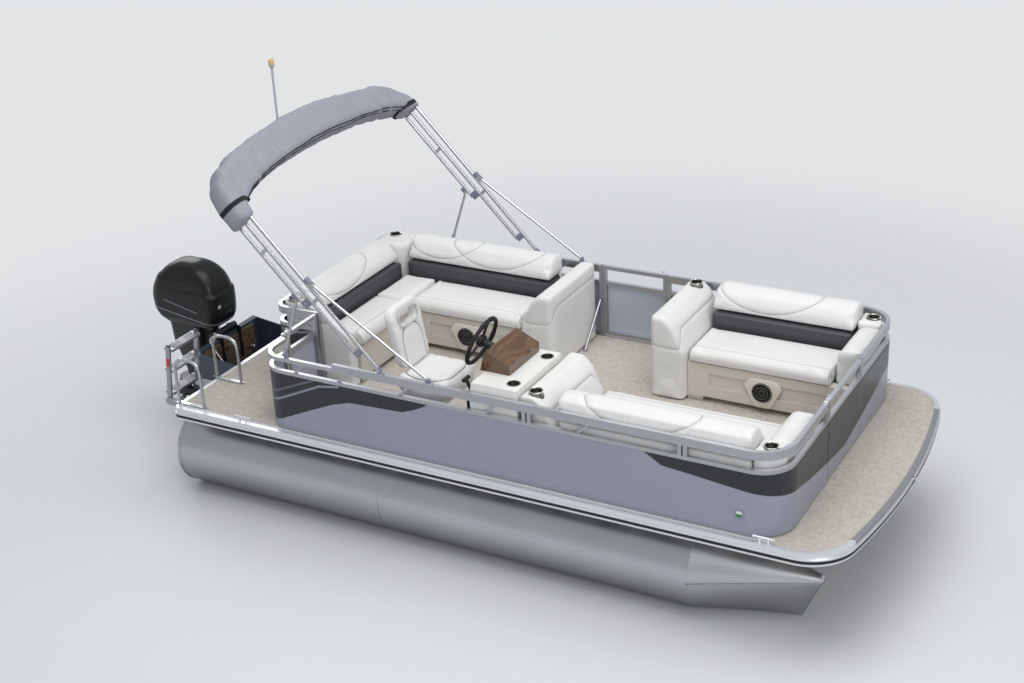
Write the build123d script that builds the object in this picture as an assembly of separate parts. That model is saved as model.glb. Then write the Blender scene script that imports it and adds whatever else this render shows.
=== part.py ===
from build123d import *
import math
import os

# An 18-foot pontoon boat with an aft lounge, two bow benches, a helm and an outboard.
# Millimetres. X runs forward to the bow, Y to port, Z up.
# The origin is on the ground, on the centreline, under the middle of the overall length.

# Overall places
BEAM = 2590.0           # over the rub rails
BOW_X = 3257.0          # bow edge of the deck
DECK_LENGTH = 5440.0
BOW_DECK = 500.0        # open deck ahead of the front fence
BOW_ARC_R = 5700.0      # the bow edge is a shallow arc
BOW_CORNER_R = 340.0
STERN_CORNER_R = 70.0

# Pontoons
TUBE_R = 317.5
TUBE_INSET = 405.0      # centre of each tube from the deck's side
TUBE_OVERHANG = 80.0    # tube past the deck at the stern
KEEL_H = 8.0            # keel strip below the tube
KEEL_W = 40.0
NOSE_AFT = 682.0        # where the nose cone starts, aft of the front fence
STEM_FORE = 158.0       # stem head, ahead of the front fence
STEM_H = 417.0          # stem head above ground
STEM_FOOT_FORE = 14.0
STEM_FOOT_H = 77.0
STEM_W = 44.0
WELD_W = 16.0
WELD_H = 3.0
SEAM_AFT = 3146.0       # middle weld of the tube
RIM_W = 22.0
RISER_H = 78.0
RISER_TOP_W = 120.0
RISER_FOOT_W = 300.0
STEM_TIP_R = 55.0
TUBE_CAP = 40.0         # riser ends from the tube's stern
NOSE_SIDES = 36         # facets round the nose cone

# Deck
CROSS_H = 75.0
CROSS_W = 70.0
CROSS_T = 5.0
CROSS_PITCH = 405.0
CROSS_INSET = 60.0      # cross member ends from the trim
BOARD_T = 22.0
TRIM_T = 8.0
RUB_DEPTH = 12.0        # how far the rub rail stands out of the trim
TRIM_LIP = 34.0
TRIM_DROP = 92.0
LIP_T = 4.0
RUB_BAR = 9.0
RUB_GROOVE = 24.0

# Fence
FENCE_INSET = 70.0      # fence's outer face from the deck's side
FENCE_AFT = 4070.0      # starboard fence, aft of the front fence
FENCE_BOW_R = 250.0
FENCE_STERN_R = 170.0
LOUNGE_AFT = 4470.0     # aft fence behind the lounge
LOUNGE_STBD = -505.0    # lounge fence's starboard return
LOUNGE_R = 120.0
SKIN_T = 3.0
RAIL_W = 30.0
RAIL_H = 30.0
SKIN_TOP = 464.0
TOP_RAIL = 628.0        # top of the top rail
RAIL_STEP_AFT = 3360.0  # the top rail is doubled ahead of here
RAIL_STEP_LAP = 60.0
POST_W = 28.0
POST_GAP = 12.0
STRUT_T = 16.0
STRUT_LEAN = 110.0
GATE_GAP = 8.0
BOW_GATE = (-365.0, 335.0)
PORT_GATE_AFT = (1862.0, 2418.0)
STERN_GATE_IN = 320.0   # stern gate's outer end from the fence's side
STERN_GATE_GAP = 15.0
GATE_SILL = 22.0
BRACE_D = 18.0
BRACE_BOSS = 22.0
BRACE_HEAD_H = 330.0
BRACE_FOOT_IN = 345.0   # foot of the gate's stay from the fence's side
HINGE_R = 6.0
STRUT_AFT = (3775.0, 3395.0, 2875.0, 2176.0, 1470.0)
PAIR_AFT = (700.0, 1840.0)          # joints between fence sections
HINGE_H = (90.0, 380.0)
HINGE_LEN = 44.0
HINGE_GAP = 0.5
LEAF_T = 3.0
LEAF_W = 26.0

# Seating
SEAT_TOP = 430.0
SEAT_T = 115.0
ROLL_R = 62.0
BACK_TOP = 720.0
BACK_BOTTOM = 530.0
SOFT_GAP = 3.0
LID_GAP = 6.0
BASE_WALL = 18.0
TOE_H = 45.0
TOE_D = 60.0
ARM_TOP = 670.0
BENCH_DEPTH = 753.0     # seat base, from its back to its front
ROLL_OUT = 45.0         # cushion roll past the base front
FURNITURE_GAP = 9.0     # seats clear of the fence rails
CUP_R = 42.0
CUP_DEPTH = 75.0
CUP_WALL = 1.5
CUP_LIP = 8.0
CUP_FIT = 0.5
BACK_FOOT = 318.0       # back's front edge from the fence side, at its foot
BACK_HEAD = 205.0       # and at its head
BACK_CROWN = 110.0
BACK_SHOULDER = 30.0
BACK_FOOT_R = 40.0
BACK_HEAD_R = 70.0
BACK_REAR_R = 25.0
ROLL_BOTTOM_R = 45.0
SEAT_REST = 0.3         # cushions lie this far above their base
BAND_IN = 6.0
TOE_END = 120.0
PANEL_END = 170.0
PANEL_D = 14.0
PANEL_H = (130.0, 240.0)
ARM_OUT = 70.0
ARM_W = 290.0
ARM_LOW = 400.0         # where an arm's padded side starts to slope
ARM_SLOPE = (95.0, 600.0)
ARM_CROWN = 170.0
ARM_SOFT_R = 60.0
ARM_FRONT_R = 45.0
ARM_PORT_AFT = 1650.0   # upright backs of the arms
ARM_STBD_AFT = 1925.0
ARM_LOUNGE_AFT = 2470.0
ARM_CUP_IN = 95.0       # cup centre from an arm's upright back
CUP_SIDE = 105.0        # cup centre from the fence side
COLUMN = 322.0          # corner column, square
COLUMN_CUT = 107.0
END_ARM_W = 124.0       # lounge's starboard end
CORNER_TOP = 615.0      # bow corners that hold a cup
LOUNGE_DEPTH = 640.0    # aft lounge base, from the aft fence side
END_ARM_LOW = 450.0
END_ARM_REAR = 300.0
BOLSTER_W = 200.0
BOLSTER_TOP = 600.0
BOLSTER_R = 85.0
BOLSTER_IN = 60.0       # bolster's inboard end from the base front
SPEAKER_R = 82.0
SPEAKER_T = 22.0
SPEAKER_H = 175.0
BEZEL = 118.0
BEZEL_R = 40.0
BEZEL_T = 9.0
SPEAKER_AFT = (3270.0, 760.0)    # lounge, bow benches

# Helm
CONSOLE_W = 683.0
WHEEL_IN = 393.0        # wheel's centre from the console's outboard side
WHEEL_R = 180.0
WHEEL_RIM = 15.0
CHAIR_AFT = 2830.0
CHAIR_IN = 428.0        # chair's centre from the furniture's outboard side
CONSOLE_BACK = 2300.0
CONSOLE_KNEE = 600.0
CONSOLE_DECK = 690.0
CONSOLE_R = 40.0
DASH_AFT = (2085.0, 2320.0)
DASH_SIDE = (198.0, 638.0)  # dash ends from the console's outboard side
DASH_TOP = (760.0, 850.0)
DASH_LIP = 40.0
DASH_R = 25.0
COLUMN_R = 32.0
WHEEL_TILT = 68.0       # wheel's axis from upright, leaning aft
WHEEL_OUT = 120.0       # wheel's plane from the dash
HUB_R = 46.0
HUB_T = 34.0
SPOKE_W = 26.0
SPOKE_T = 10.0
WHEEL_GAP = 0.5
PEDESTAL_R = 155.0
PEDESTAL_T = 14.0
POST_R = 38.0
CHAIR_PAN_H = 330.0
CHAIR_PAN_T = 60.0
CHAIR_W = 470.0
CHAIR_D = 450.0
CHAIR_CUSHION = 125.0
CHAIR_CORNER = 70.0
CHAIR_BACK_H = 1010.0
CHAIR_BACK_T = 85.0
CHAIR_BACK_LEAN = 95.0
CHAIR_BACK_W = 400.0
CHAIR_SLOT = (210.0, 85.0)
SWIVEL_GAP = 0.5
CHAIR_SEAM = 0.3        # back above the cushion
BAR_SIDES = 12          # facets round a bent bar
THROTTLE_IN = 93.0      # throttle from the console's outboard side
THROTTLE_BOX = (60.0, 70.0)
THROTTLE_H = (430.0, 560.0)
LEVER_R = 12.0
LEVER_OUT = 75.0
LEVER_TOP = 660.0
GRIP_R = 16.0
CONSOLE_CUP_IN = (75.0, 62.0)
CHAIR_PAN_IN = 20.0
CHAIR_EDGE = 28.0
CHAIR_BACK_R = 35.0
CHAIR_BACK_CORNER = 95.0

# Bimini
BIMINI_FOOT_AFT = 3017.0
BIMINI_LEAN = 46.0      # degrees from the rail, leaning aft
BIMINI_TUBE_R = 14.0
BIMINI_PITCH = 74.0     # between the folded bows
BOOT_T = 200.0          # square to the plane of the bows
BIMINI_PIN_H = 24.0     # pivots above the rail
LEG_STARTS = (0.0, 190.0, 700.0)
BRACE_AT = 786.0        # brace pivot along the main leg
BRACE_FOOT_AFT = 2613.0
STRUT_FOOT_AFT = 3830.0
STRUT_AT = 770.0
BOSS_R = 14.0
BOSS_L = 24.0
CHEEK_T = 4.0
CHEEK_GAP = 0.5
STAY_R = 11.0
FORK_CLEAR = 1.5
PIN_CLEAR = 10.0        # a stay's loose end from its pin
POLE_R = 9.0
POLE_Y = -235.0
POLE_TOP = 2525.0
LAMP_R = 20.0
LAMP_H = 45.0
BOOT_LOW = 1425.0       # along the legs, the boot's lower end
BOOT_ENDS = (0.0, 135.0)    # starboard and port end above that
BOOT_CROWN = 578.0      # top of the arch
BOOT_SHOULDER = 460.0   # ends of the arch's top line
BOOT_KNEE = 225.0       # ends of the arch's lower line
BOOT_DEPTH = 298.0      # at the middle
BOOT_SLEEVE = 170.0     # over the legs
BOOT_TURN = (290.0, 285.0, 195.0, 70.0)    # outer turn across and along, inner turn across and along
BOOT_EDGE = 55.0
TURN_STEPS = 4          # facets round each turn
CROWN_STEPS = 8
LINK_AT = (20.0, 480.0) # clips between the legs, from each leg's start
LINK_W = 26.0
LINK_T = 18.0

# Outboard
TRANSOM_AFT = 480.0     # transom's aft face, behind the deck
TRANSOM_T = 45.0
TRANSOM_DROP = 0.0      # transom top below the deck
POD_HALF = 400.0
POD_WALL = 8.0
POD_FRONT = 420.0       # pod reaches this far under the deck
POD_DEPTH = 380.0
POD_CLEAR = 14.0        # pod wall behind the deck trim
POD_SLOPE = 300.0
POD_SIDE_DROP = 60.0    # side walls below the transom, at the deck end
CLAMP_Y = (112.0, 128.0)
CLAMP_REACH = 62.0
CLAMP_DROP = 250.0
TILT_IN = 12.0          # tilt axis ahead of the transom's aft face
TILT_R = 18.0
TILT_FIT = 0.3
SWIVEL_R = 30.0
KING_OUT = 108.0        # steering axis behind the transom
KING_R = 36.0
KING_LOW = -240.0
KING_HIGH = 16.0
YOKE_T = 30.0
YOKE_GAP = 0.5
YOKE_AFT = 280.0        # the motor's places are behind the transom
ARM_LIFT = 5.0          # swivel clear of the transom
PLATE_H = -485.0        # anti-ventilation plate
PLATE_AFT = 340.0
PLATE_L = 400.0
PLATE_W = 170.0
PLATE_R = 80.0
PLATE_T = 10.0
NECK_AFT = 305.0
NECK_L = 230.0
NECK_W = 56.0
NECK_R = 27.0
SHAFT_H = -645.0        # propeller shaft
SKEG_H = -798.0
SKEG_ROOT = (220.0, 420.0)
SKEG_TIP = (300.0, 430.0)
SKEG_T = 14.0
SKEG_R = 20.0
PROP_R = 138.0
PROP_HUB_R = 44.0
PROP_L = 122.0
PROP_GAP = 0.5
BLADE_T = 7.0
BLADE_W = 120.0
BLADE_PITCH = 32.0
GEAR_R = 52.0
GEAR_TIP_R = 16.0
GEAR_AFT = (140.0, 446.0)
# cowl sections: height above the deck, aft end, forward end, half width, corner radius
COWL = (
    (105.0, 535.0, 50.0, 140.0, 100.0),
    (190.0, 608.0, -32.0, 178.0, 120.0),
    (300.0, 620.0, -68.0, 190.0, 125.0),
    (420.0, 596.0, -68.0, 188.0, 125.0),
    (520.0, 535.0, -28.0, 170.0, 120.0),
    (590.0, 456.0, 42.0, 135.0, 105.0),
    (640.0, 355.0, 140.0, 70.0, 55.0),
)
# leg sections: height above the deck, aft end, forward end, half width, corner radius
LEG = (
    (COWL[0][0], 525.0, 170.0, 118.0, 80.0),
    (-120.0, 515.0, 188.0, 98.0, 70.0),
    (-300.0, 470.0, 198.0, 62.0, 50.0),
    (PLATE_H, 430.0, 202.0, 40.0, 36.0),
)

# Stern
HOOP_IN = (100.0, 570.0)    # hoops from the deck's side
HOOP_AFT = (250.0, 10.0)   # ahead of the deck's stern edge
HOOP_H = 385.0
HOOP_TUBE_R = 13.0
HOOP_R = 90.0
HOOP_BASE = (36.0, 8.0)
LADDER_IN = (165.0, 505.0)  # stringers from the deck's side
LADDER_HINGE_AFT = 145.0    # behind the deck's stern edge
LADDER_HINGE_H = -40.0
LADDER_LENGTH = 480.0
LADDER_LEAN = 7.0       # degrees past upright, towards the bow
STRINGER = (38.0, 20.0)
TREADS = (70.0, 270.0, 450.0)
TREAD = (78.0, 24.0)
MOUNT_T = 10.0
MOUNT_H = 62.0
SIDE_GAP = 0.5

# Deck hardware
CLEAT_AFT = (122.0, 4278.0)
CLEAT_INSET = 43.0      # cleats from the deck's side
CLEAT_L = 150.0
CLEAT_R = 8.0
CLEAT_H = 34.0
NAV_AFT = 296.0
NAV_H = 166.0
NAV_R = 24.0
NAV_T = 20.0
EYE_R = 26.0
EYE_BAR = 6.0

# Heights that follow from the stack of tube, riser, cross member and board
TUBE_Z = TUBE_R + KEEL_H
TUBE_TOP = TUBE_Z + TUBE_R
RISER_TOP = TUBE_TOP + RISER_H
BOARD_BOTTOM = RISER_TOP + CROSS_H
DECK_TOP = BOARD_BOTTOM + BOARD_T
STERN_X = BOW_X - DECK_LENGTH
FENCE_X = BOW_X - BOW_DECK
TUBE_STERN = STERN_X - TUBE_OVERHANG
NOSE_X = FENCE_X - NOSE_AFT
TUBE_Y = BEAM / 2 - TUBE_INSET
FENCE_HALF = BEAM / 2 - FENCE_INSET


def aft(distance):
    """X of a place measured aft of the front fence."""
    return FENCE_X - distance


def up(height):
    """Z of a height above the deck."""
    return DECK_TOP + height


def block(x0, x1, y0, y1, z0, z1):
    """A box between two corners."""
    centre = ((x0 + x1) / 2, (y0 + y1) / 2, (z0 + z1) / 2)
    return Pos(*centre) * Box(abs(x1 - x0), abs(y1 - y0), abs(z1 - z0))


def rod(start, end, radius):
    """A round bar between two points."""
    axis = Vector(*end) - Vector(*start)
    plane = Plane(origin=start, z_dir=axis)
    return plane * Cylinder(radius, axis.length, align=(Align.CENTER, Align.CENTER, Align.MIN))


def bar(start, end, width, depth, side=(0, 1, 0)):
    """A rectangular bar between two points; side gives the direction of its depth."""
    axis = Vector(*end) - Vector(*start)
    plane = Plane(origin=start, x_dir=Vector(*side), z_dir=axis)
    return plane * Box(depth, width, axis.length, align=(Align.CENTER, Align.CENTER, Align.MIN))


def prism_x(points, x0, x1, radii=None):
    """A section in Y and Z, drawn as a polygon with rounded corners, run from x0 to x1."""
    face = make_face(Polyline(*points, close=True))
    for index, radius in (radii or {}).items():
        y, z = points[index]
        corner = [v for v in face.vertices() if abs(v.X - y) < 0.01 and abs(v.Y - z) < 0.01]
        face = fillet(corner, radius)
    plane = Plane(origin=(x0, 0, 0), x_dir=(0, 1, 0), z_dir=(1, 0, 0))
    return extrude(plane * face, amount=x1 - x0)


def prism_y(points, y0, y1, radii=None):
    """A section in X and Z, drawn as a polygon with rounded corners, run from y0 to y1."""
    face = make_face(Polyline(*points, close=True))
    for index, radius in (radii or {}).items():
        x, z = points[index]
        corner = [v for v in face.vertices() if abs(v.X - x) < 0.01 and abs(v.Y - z) < 0.01]
        face = fillet(corner, radius)
    plane = Plane(origin=(0, y1, 0), x_dir=(1, 0, 0), z_dir=(0, -1, 0))
    return extrude(plane * face, amount=y1 - y0)


def swept(points, radii, section):
    """A flat sketch run along straight stretches joined by arcs."""
    path = FilletPolyline(*points, radius=radii)
    start = Plane(origin=path @ 0, z_dir=path % 0)
    return sweep(start * section, path=path)


def joined(shapes):
    """One fused solid from many that meet."""
    whole = shapes[0]
    for shape in shapes[1:]:
        whole = whole + shape
    return whole


def apart(shapes):
    """Several solids that share a node without touching."""
    return Compound(children=[solid for shape in shapes for solid in shape.solids()])


def deck_face(inset):
    """The deck's plan, moved inwards by an inset."""
    half = BEAM / 2 - inset
    bow = BOW_X - inset
    stern = STERN_X + inset
    radius = BOW_ARC_R - inset
    side = bow - radius + math.sqrt(radius**2 - half**2)
    edges = [
        Line((stern, -half), (side, -half)),
        ThreePointArc((side, -half), (bow, 0), (side, half)),
        Line((side, half), (stern, half)),
        Line((stern, half), (stern, -half)),
    ]
    face = make_face(edges)
    face = fillet(face.vertices().group_by(Axis.X)[-1], BOW_CORNER_R - inset)
    return fillet(face.vertices().group_by(Axis.X)[0], STERN_CORNER_R - inset)


def deck_band(outer, inner, z0, z1):
    """A band along the deck edge between two insets."""
    return Pos(0, 0, z0) * extrude(deck_face(outer) - deck_face(inner), amount=z1 - z0)


def fence_face(inset):
    """The main fence's plan, moved inwards by an inset."""
    x0, x1, half = aft(FENCE_AFT) + inset, FENCE_X - inset, FENCE_HALF - inset
    face = make_face(Polyline((x0, -half), (x1, -half), (x1, half), (x0, half), close=True))
    face = fillet(face.vertices().group_by(Axis.X)[-1], FENCE_BOW_R - inset)
    return fillet(face.vertices().group_by(Axis.X)[0], FENCE_STERN_R - inset)


def lounge_face(inset):
    """The plan of the fence round the lounge, moved inwards by an inset."""
    x0, x1 = aft(LOUNGE_AFT) + inset, aft(PORT_GATE_AFT[0])
    y0, y1 = LOUNGE_STBD + inset, FENCE_HALF - inset
    face = make_face(Polyline((x0, y0), (x1, y0), (x1, y1), (x0, y1), close=True))
    return fillet(face.vertices().group_by(Axis.X)[0], LOUNGE_R - inset)


def layer(plan, outer, inner, h0, h1):
    """A wall along a fence plan between two insets and two heights above the deck."""
    return Pos(0, 0, up(h0)) * extrude(plan(outer) - plan(inner), amount=h1 - h0)


# Hull


def pontoon():
    """A pontoon about its own centreline: tube, nose cone, stem wedge, welds, keel and riser."""
    centre = (0, TUBE_Z)
    tube = rod((TUBE_STERN, *centre), (NOSE_X, *centre), TUBE_R)
    stem_x = FENCE_X + STEM_FORE
    tip = Plane(origin=(stem_x - STEM_TIP_R, 0, STEM_H - STEM_TIP_R / 2), z_dir=(1, 0, 0))
    start = Plane(origin=(NOSE_X, *centre), z_dir=(1, 0, 0))
    wide = start * RegularPolygon(TUBE_R, NOSE_SIDES)
    narrow = tip * RegularPolygon(STEM_TIP_R, NOSE_SIDES)
    cone = loft([wide, narrow], ruled=True)
    root = Wire.make_polygon(
        [(NOSE_X, -TUBE_R, TUBE_Z), (NOSE_X, TUBE_R, TUBE_Z), (NOSE_X, 0, 2 * KEEL_H)]
    )
    foot_x = FENCE_X + STEM_FOOT_FORE
    stem = Wire.make_polygon(
        [(stem_x, -STEM_W / 2, STEM_H), (stem_x, STEM_W / 2, STEM_H), (foot_x, 0, STEM_FOOT_H)]
    )
    wedge = Part(Solid.make_loft([root, stem], ruled=True).wrapped)
    rings = []
    # weld ring: centre X, width
    for ring_x, width in ((NOSE_X, WELD_W), (aft(SEAM_AFT), WELD_W), (TUBE_STERN + RIM_W / 2, RIM_W)):
        ends = (ring_x - width / 2, ring_x + width / 2)
        rings.append(rod((ends[0], *centre), (ends[1], *centre), TUBE_R + WELD_H))
    keel = block(TUBE_STERN + RIM_W, NOSE_X, -KEEL_W / 2, KEEL_W / 2, 0, 2 * KEEL_H)
    foot_z = TUBE_Z + math.sqrt(TUBE_R**2 - (RISER_FOOT_W / 2) ** 2) - KEEL_H
    section = [
        (-RISER_FOOT_W / 2, foot_z),
        (RISER_FOOT_W / 2, foot_z),
        (RISER_TOP_W / 2, RISER_TOP),
        (-RISER_TOP_W / 2, RISER_TOP),
    ]
    riser = prism_x(section, TUBE_STERN + TUBE_CAP, NOSE_X)
    return joined([tube, cone, wedge, *rings, keel, riser])


def cross_members():
    """Hat-section beams across the risers, open below."""
    inside = Pos(0, 0, RISER_TOP) * extrude(deck_face(CROSS_INSET), amount=CROSS_H)
    count = int((DECK_LENGTH - CROSS_PITCH) // CROSS_PITCH) + 1
    first = STERN_X + (DECK_LENGTH - (count - 1) * CROSS_PITCH) / 2
    half = BEAM / 2
    beams = []
    for index in range(count):
        x = first + index * CROSS_PITCH
        solid = block(x - CROSS_W / 2, x + CROSS_W / 2, -half, half, RISER_TOP, BOARD_BOTTOM)
        web = CROSS_W / 2 - CROSS_T
        hollow = block(x - web, x + web, -half, half, RISER_TOP, BOARD_BOTTOM - CROSS_T)
        beams.append((solid - hollow) & inside)
    return apart(beams)


def deck_board():
    """The deck panel inside the trim."""
    return Pos(0, 0, BOARD_BOTTOM) * extrude(deck_face(RUB_DEPTH + TRIM_T), amount=BOARD_T)


RUB_LOW = DECK_TOP - TRIM_DROP + LIP_T + RUB_BAR
RUB_HIGH = RUB_LOW + RUB_BAR + RUB_GROOVE


def deck_trim():
    """The extruded edge: a web with a lip above and below, and two bars that hold the strip."""
    low = DECK_TOP - TRIM_DROP
    top = DECK_TOP + LIP_T
    lip = RUB_DEPTH + TRIM_LIP
    bands = [
        # outer inset, inner inset, bottom, top
        (RUB_DEPTH, RUB_DEPTH + TRIM_T, low, top),
        (RUB_DEPTH, lip, DECK_TOP, top),
        (RUB_DEPTH, lip, low, low + LIP_T),
        (0, RUB_DEPTH, RUB_LOW, RUB_LOW + RUB_BAR),
        (0, RUB_DEPTH, RUB_HIGH, RUB_HIGH + RUB_BAR),
    ]
    return joined([deck_band(*band) for band in bands])


def rub_strip():
    """The dark strip pressed between the rub rail's two bars."""
    return deck_band(LIP_T, RUB_DEPTH, RUB_LOW + RUB_BAR, RUB_HIGH)


# Motor pod
TRANSOM_X = STERN_X - TRANSOM_AFT
TRANSOM_TOP = DECK_TOP - TRANSOM_DROP


def motor_pod():
    """An open trough behind the deck with the transom board at its end."""
    front = STERN_X + POD_FRONT
    low = TRANSOM_TOP - POD_DEPTH
    side = STERN_X - POD_CLEAR
    outline = [
        (front, RISER_TOP),
        (side, RISER_TOP),
        (side, TRANSOM_TOP - POD_SIDE_DROP),
        (TRANSOM_X, TRANSOM_TOP),
        (TRANSOM_X, low),
        (front - POD_SLOPE, low),
    ]
    shell = prism_y(outline, -POD_HALF, POD_HALF)
    inner_low = low + POD_WALL
    hollow = [
        (front - 3 * POD_WALL, RISER_TOP + 1),
        (side, RISER_TOP + 1),
        (side, TRANSOM_TOP + 1),
        (TRANSOM_X + TRANSOM_T, TRANSOM_TOP + 1),
        (TRANSOM_X + TRANSOM_T, inner_low),
        (front - POD_SLOPE - POD_WALL, inner_low),
    ]
    return shell - prism_y(hollow, -POD_HALF + POD_WALL, POD_HALF - POD_WALL)


# Fence
RAIL_IN = SKIN_T + RAIL_W           # inner face of the rails from the fence's outer face


def walls(plan, heights, keep):
    """Rails along a plan at several heights, kept inside a box or boxes."""
    return [layer(plan, SKIN_T, RAIL_IN, low, low + RAIL_H) & keep for low in heights]


def side_post(distance, side, width=POST_W):
    """An upright of the side fence, its forward face at a distance aft of the front fence."""
    y0 = side * (FENCE_HALF - SKIN_T)
    y1 = side * (FENCE_HALF - RAIL_IN)
    return block(aft(distance + width), aft(distance), y0, y1, up(0), up(TOP_RAIL - RAIL_H))


def lean_struts(places, side):
    """Slanted struts between the middle and top rails, leaning forward as they rise."""
    y = side * (FENCE_HALF - SKIN_T - RAIL_W / 2)
    struts = []
    for distance in places:
        foot = (aft(distance), y, up(SKIN_TOP + RAIL_H / 2))
        head = (aft(distance - STRUT_LEAN), y, up(TOP_RAIL - 1.5 * RAIL_H))
        struts.append(bar(foot, head, STRUT_T, STRUT_T))
    return struts


RAILS = (0.0, SKIN_TOP, TOP_RAIL - 2 * RAIL_H)
STERN_GATE = (STERN_GATE_IN - FENCE_HALF, LOUNGE_STBD - STERN_GATE_GAP)
FAR = 9000.0            # beyond the boat, for cutting boxes


def starboard_keep():
    """The part of the main fence from the bow gate round the starboard side to the stern gate."""
    bow_part = block(aft(FENCE_AFT / 2), FAR, -FAR, BOW_GATE[0] - GATE_GAP, 0, FAR)
    return block(-FAR, FAR, -FAR, STERN_GATE[0] - GATE_GAP, 0, FAR) + bow_part


def port_bow_keep():
    """The part of the main fence from the bow gate to the port gate."""
    return block(aft(PORT_GATE_AFT[0] - GATE_GAP), FAR, BOW_GATE[1] + GATE_GAP, FAR, 0, FAR)


def lounge_keep():
    """The fence from the port gate round the lounge to the stern gate."""
    side = block(-FAR, aft(PORT_GATE_AFT[1] + GATE_GAP), FENCE_HALF / 2, FAR, 0, FAR)
    return side + block(-FAR, aft(FENCE_AFT - RAIL_IN), -FAR, FAR, 0, FAR)


def bow_wall(along, depth):
    """A place on the bow fence: along Y, and inwards from its outer face."""
    return FENCE_X - depth, along


def port_wall(along, depth):
    """A place on the port fence: aft of the front fence, and inwards from its outer face."""
    return aft(along), FENCE_HALF - depth


def stern_wall(along, depth):
    """A place on the stern gate's line: along Y, and inwards from its outer face."""
    return aft(FENCE_AFT) + depth, along


def wall_block(wall, a0, a1, d0, d1, h0, h1):
    """A box on a fence wall between two places along it, two depths and two heights."""
    x0, y0 = wall(a0, d0)
    x1, y1 = wall(a1, d1)
    return block(x0, x1, y0, y1, up(h0), up(h1))


def hinge_piece(wall, axis_a, leaf, h0, h1):
    """A hinge barrel and its leaf on the inner face, from one height to another."""
    x, y = wall(axis_a, RAIL_IN + HINGE_R + HINGE_GAP)
    barrel = rod((x, y, up(h0)), (x, y, up(h1)), HINGE_R)
    return barrel + wall_block(wall, axis_a, axis_a + leaf, RAIL_IN, RAIL_IN + LEAF_T, h0, h1)


def gate_frame(wall, a0, a1, hinge):
    """A gate's square-tube frame; hinge is +1 or -1, towards its hinged end."""
    bars = []
    for low in (GATE_SILL, SKIN_TOP, TOP_RAIL - RAIL_H):
        bars.append(wall_block(wall, a0, a1, SKIN_T, RAIL_IN, low, low + RAIL_H))
    for end in (a0, a1 - POST_W):
        bars.append(wall_block(wall, end, end + POST_W, SKIN_T, RAIL_IN, GATE_SILL, TOP_RAIL))
    axis_a = (a1 if hinge > 0 else a0) + hinge * GATE_GAP / 2
    for height in HINGE_H:
        bars.append(hinge_piece(wall, axis_a, -hinge * LEAF_W, height, height + HINGE_LEN))
    return joined(bars)


def gate_skin(wall, a0, a1):
    """The sheet on a gate's outer face."""
    return wall_block(wall, a0, a1, 0, SKIN_T, GATE_SILL, SKIN_TOP)


def fence_hinges(wall, a0, a1, hinge):
    """The fixed halves of a gate's hinges, above and below each gate barrel."""
    axis_a = (a1 if hinge > 0 else a0) + hinge * GATE_GAP / 2
    half = HINGE_LEN / 2
    pieces = []
    for height in HINGE_H:
        for low in (height - half - HINGE_GAP, height + HINGE_LEN + HINGE_GAP):
            pieces.append(hinge_piece(wall, axis_a, hinge * LEAF_W, low, low + half))
    return pieces


def fence_starboard():
    """Rails and posts from the bow gate to the stern gate on the starboard side."""
    keep = starboard_keep()
    pieces = walls(fence_face, RAILS, keep)
    doubled = keep & block(aft(RAIL_STEP_AFT + RAIL_STEP_LAP), FAR, -FAR, FAR, 0, FAR)
    pieces += walls(fence_face, (TOP_RAIL - RAIL_H,), doubled)
    for distance in PAIR_AFT:
        pieces.append(side_post(distance - POST_W - POST_GAP / 2, -1))
        pieces.append(side_post(distance + POST_GAP / 2, -1))
    pieces += lean_struts(STRUT_AFT, -1)
    ends = (
        # wall, near end, far end
        (bow_wall, BOW_GATE[0] - GATE_GAP - POST_W, BOW_GATE[0] - GATE_GAP),
        (stern_wall, STERN_GATE[0] - GATE_GAP - POST_W, STERN_GATE[0] - GATE_GAP),
    )
    for wall, a0, a1 in ends:
        pieces.append(wall_block(wall, a0, a1, SKIN_T, RAIL_IN, 0, TOP_RAIL - RAIL_H))
    return joined(pieces)


def fence_port_bow():
    """Rails and posts from the bow gate to the port gate."""
    keep = port_bow_keep()
    pieces = walls(fence_face, (*RAILS, TOP_RAIL - RAIL_H), keep)
    start = PAIR_AFT[0]
    pieces.append(side_post(start - POST_W - POST_GAP / 2, 1))
    pieces.append(side_post(start + POST_GAP / 2, 1))
    pieces += lean_struts((STRUT_AFT[-1],), 1)
    ends = (
        # wall, near end, far end
        (bow_wall, BOW_GATE[1] + GATE_GAP, BOW_GATE[1] + GATE_GAP + POST_W),
        (port_wall, PORT_GATE_AFT[0] - GATE_GAP - POST_W, PORT_GATE_AFT[0] - GATE_GAP),
    )
    for wall, a0, a1 in ends:
        pieces.append(wall_block(wall, a0, a1, SKIN_T, RAIL_IN, 0, TOP_RAIL))
    pieces += fence_hinges(bow_wall, *BOW_GATE, 1)
    pieces += fence_hinges(port_wall, *PORT_GATE_AFT, -1)
    return joined(pieces)


def fence_port_aft():
    """Rails and posts from the port gate round the lounge to the stern gate."""
    keep = lounge_keep()
    pieces = walls(lounge_face, (*RAILS, TOP_RAIL - RAIL_H), keep)
    pieces += lean_struts(STRUT_AFT[:3], 1)
    near = PORT_GATE_AFT[1] + GATE_GAP
    pieces.append(wall_block(port_wall, near, near + POST_W, SKIN_T, RAIL_IN, 0, TOP_RAIL))
    y0 = LOUNGE_STBD + SKIN_T
    post_x = aft(FENCE_AFT - RAIL_IN)
    pieces.append(block(post_x - POST_W, post_x, y0, y0 + RAIL_W, up(0), up(TOP_RAIL)))
    pieces += stern_hinges()
    return joined(pieces)


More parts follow.
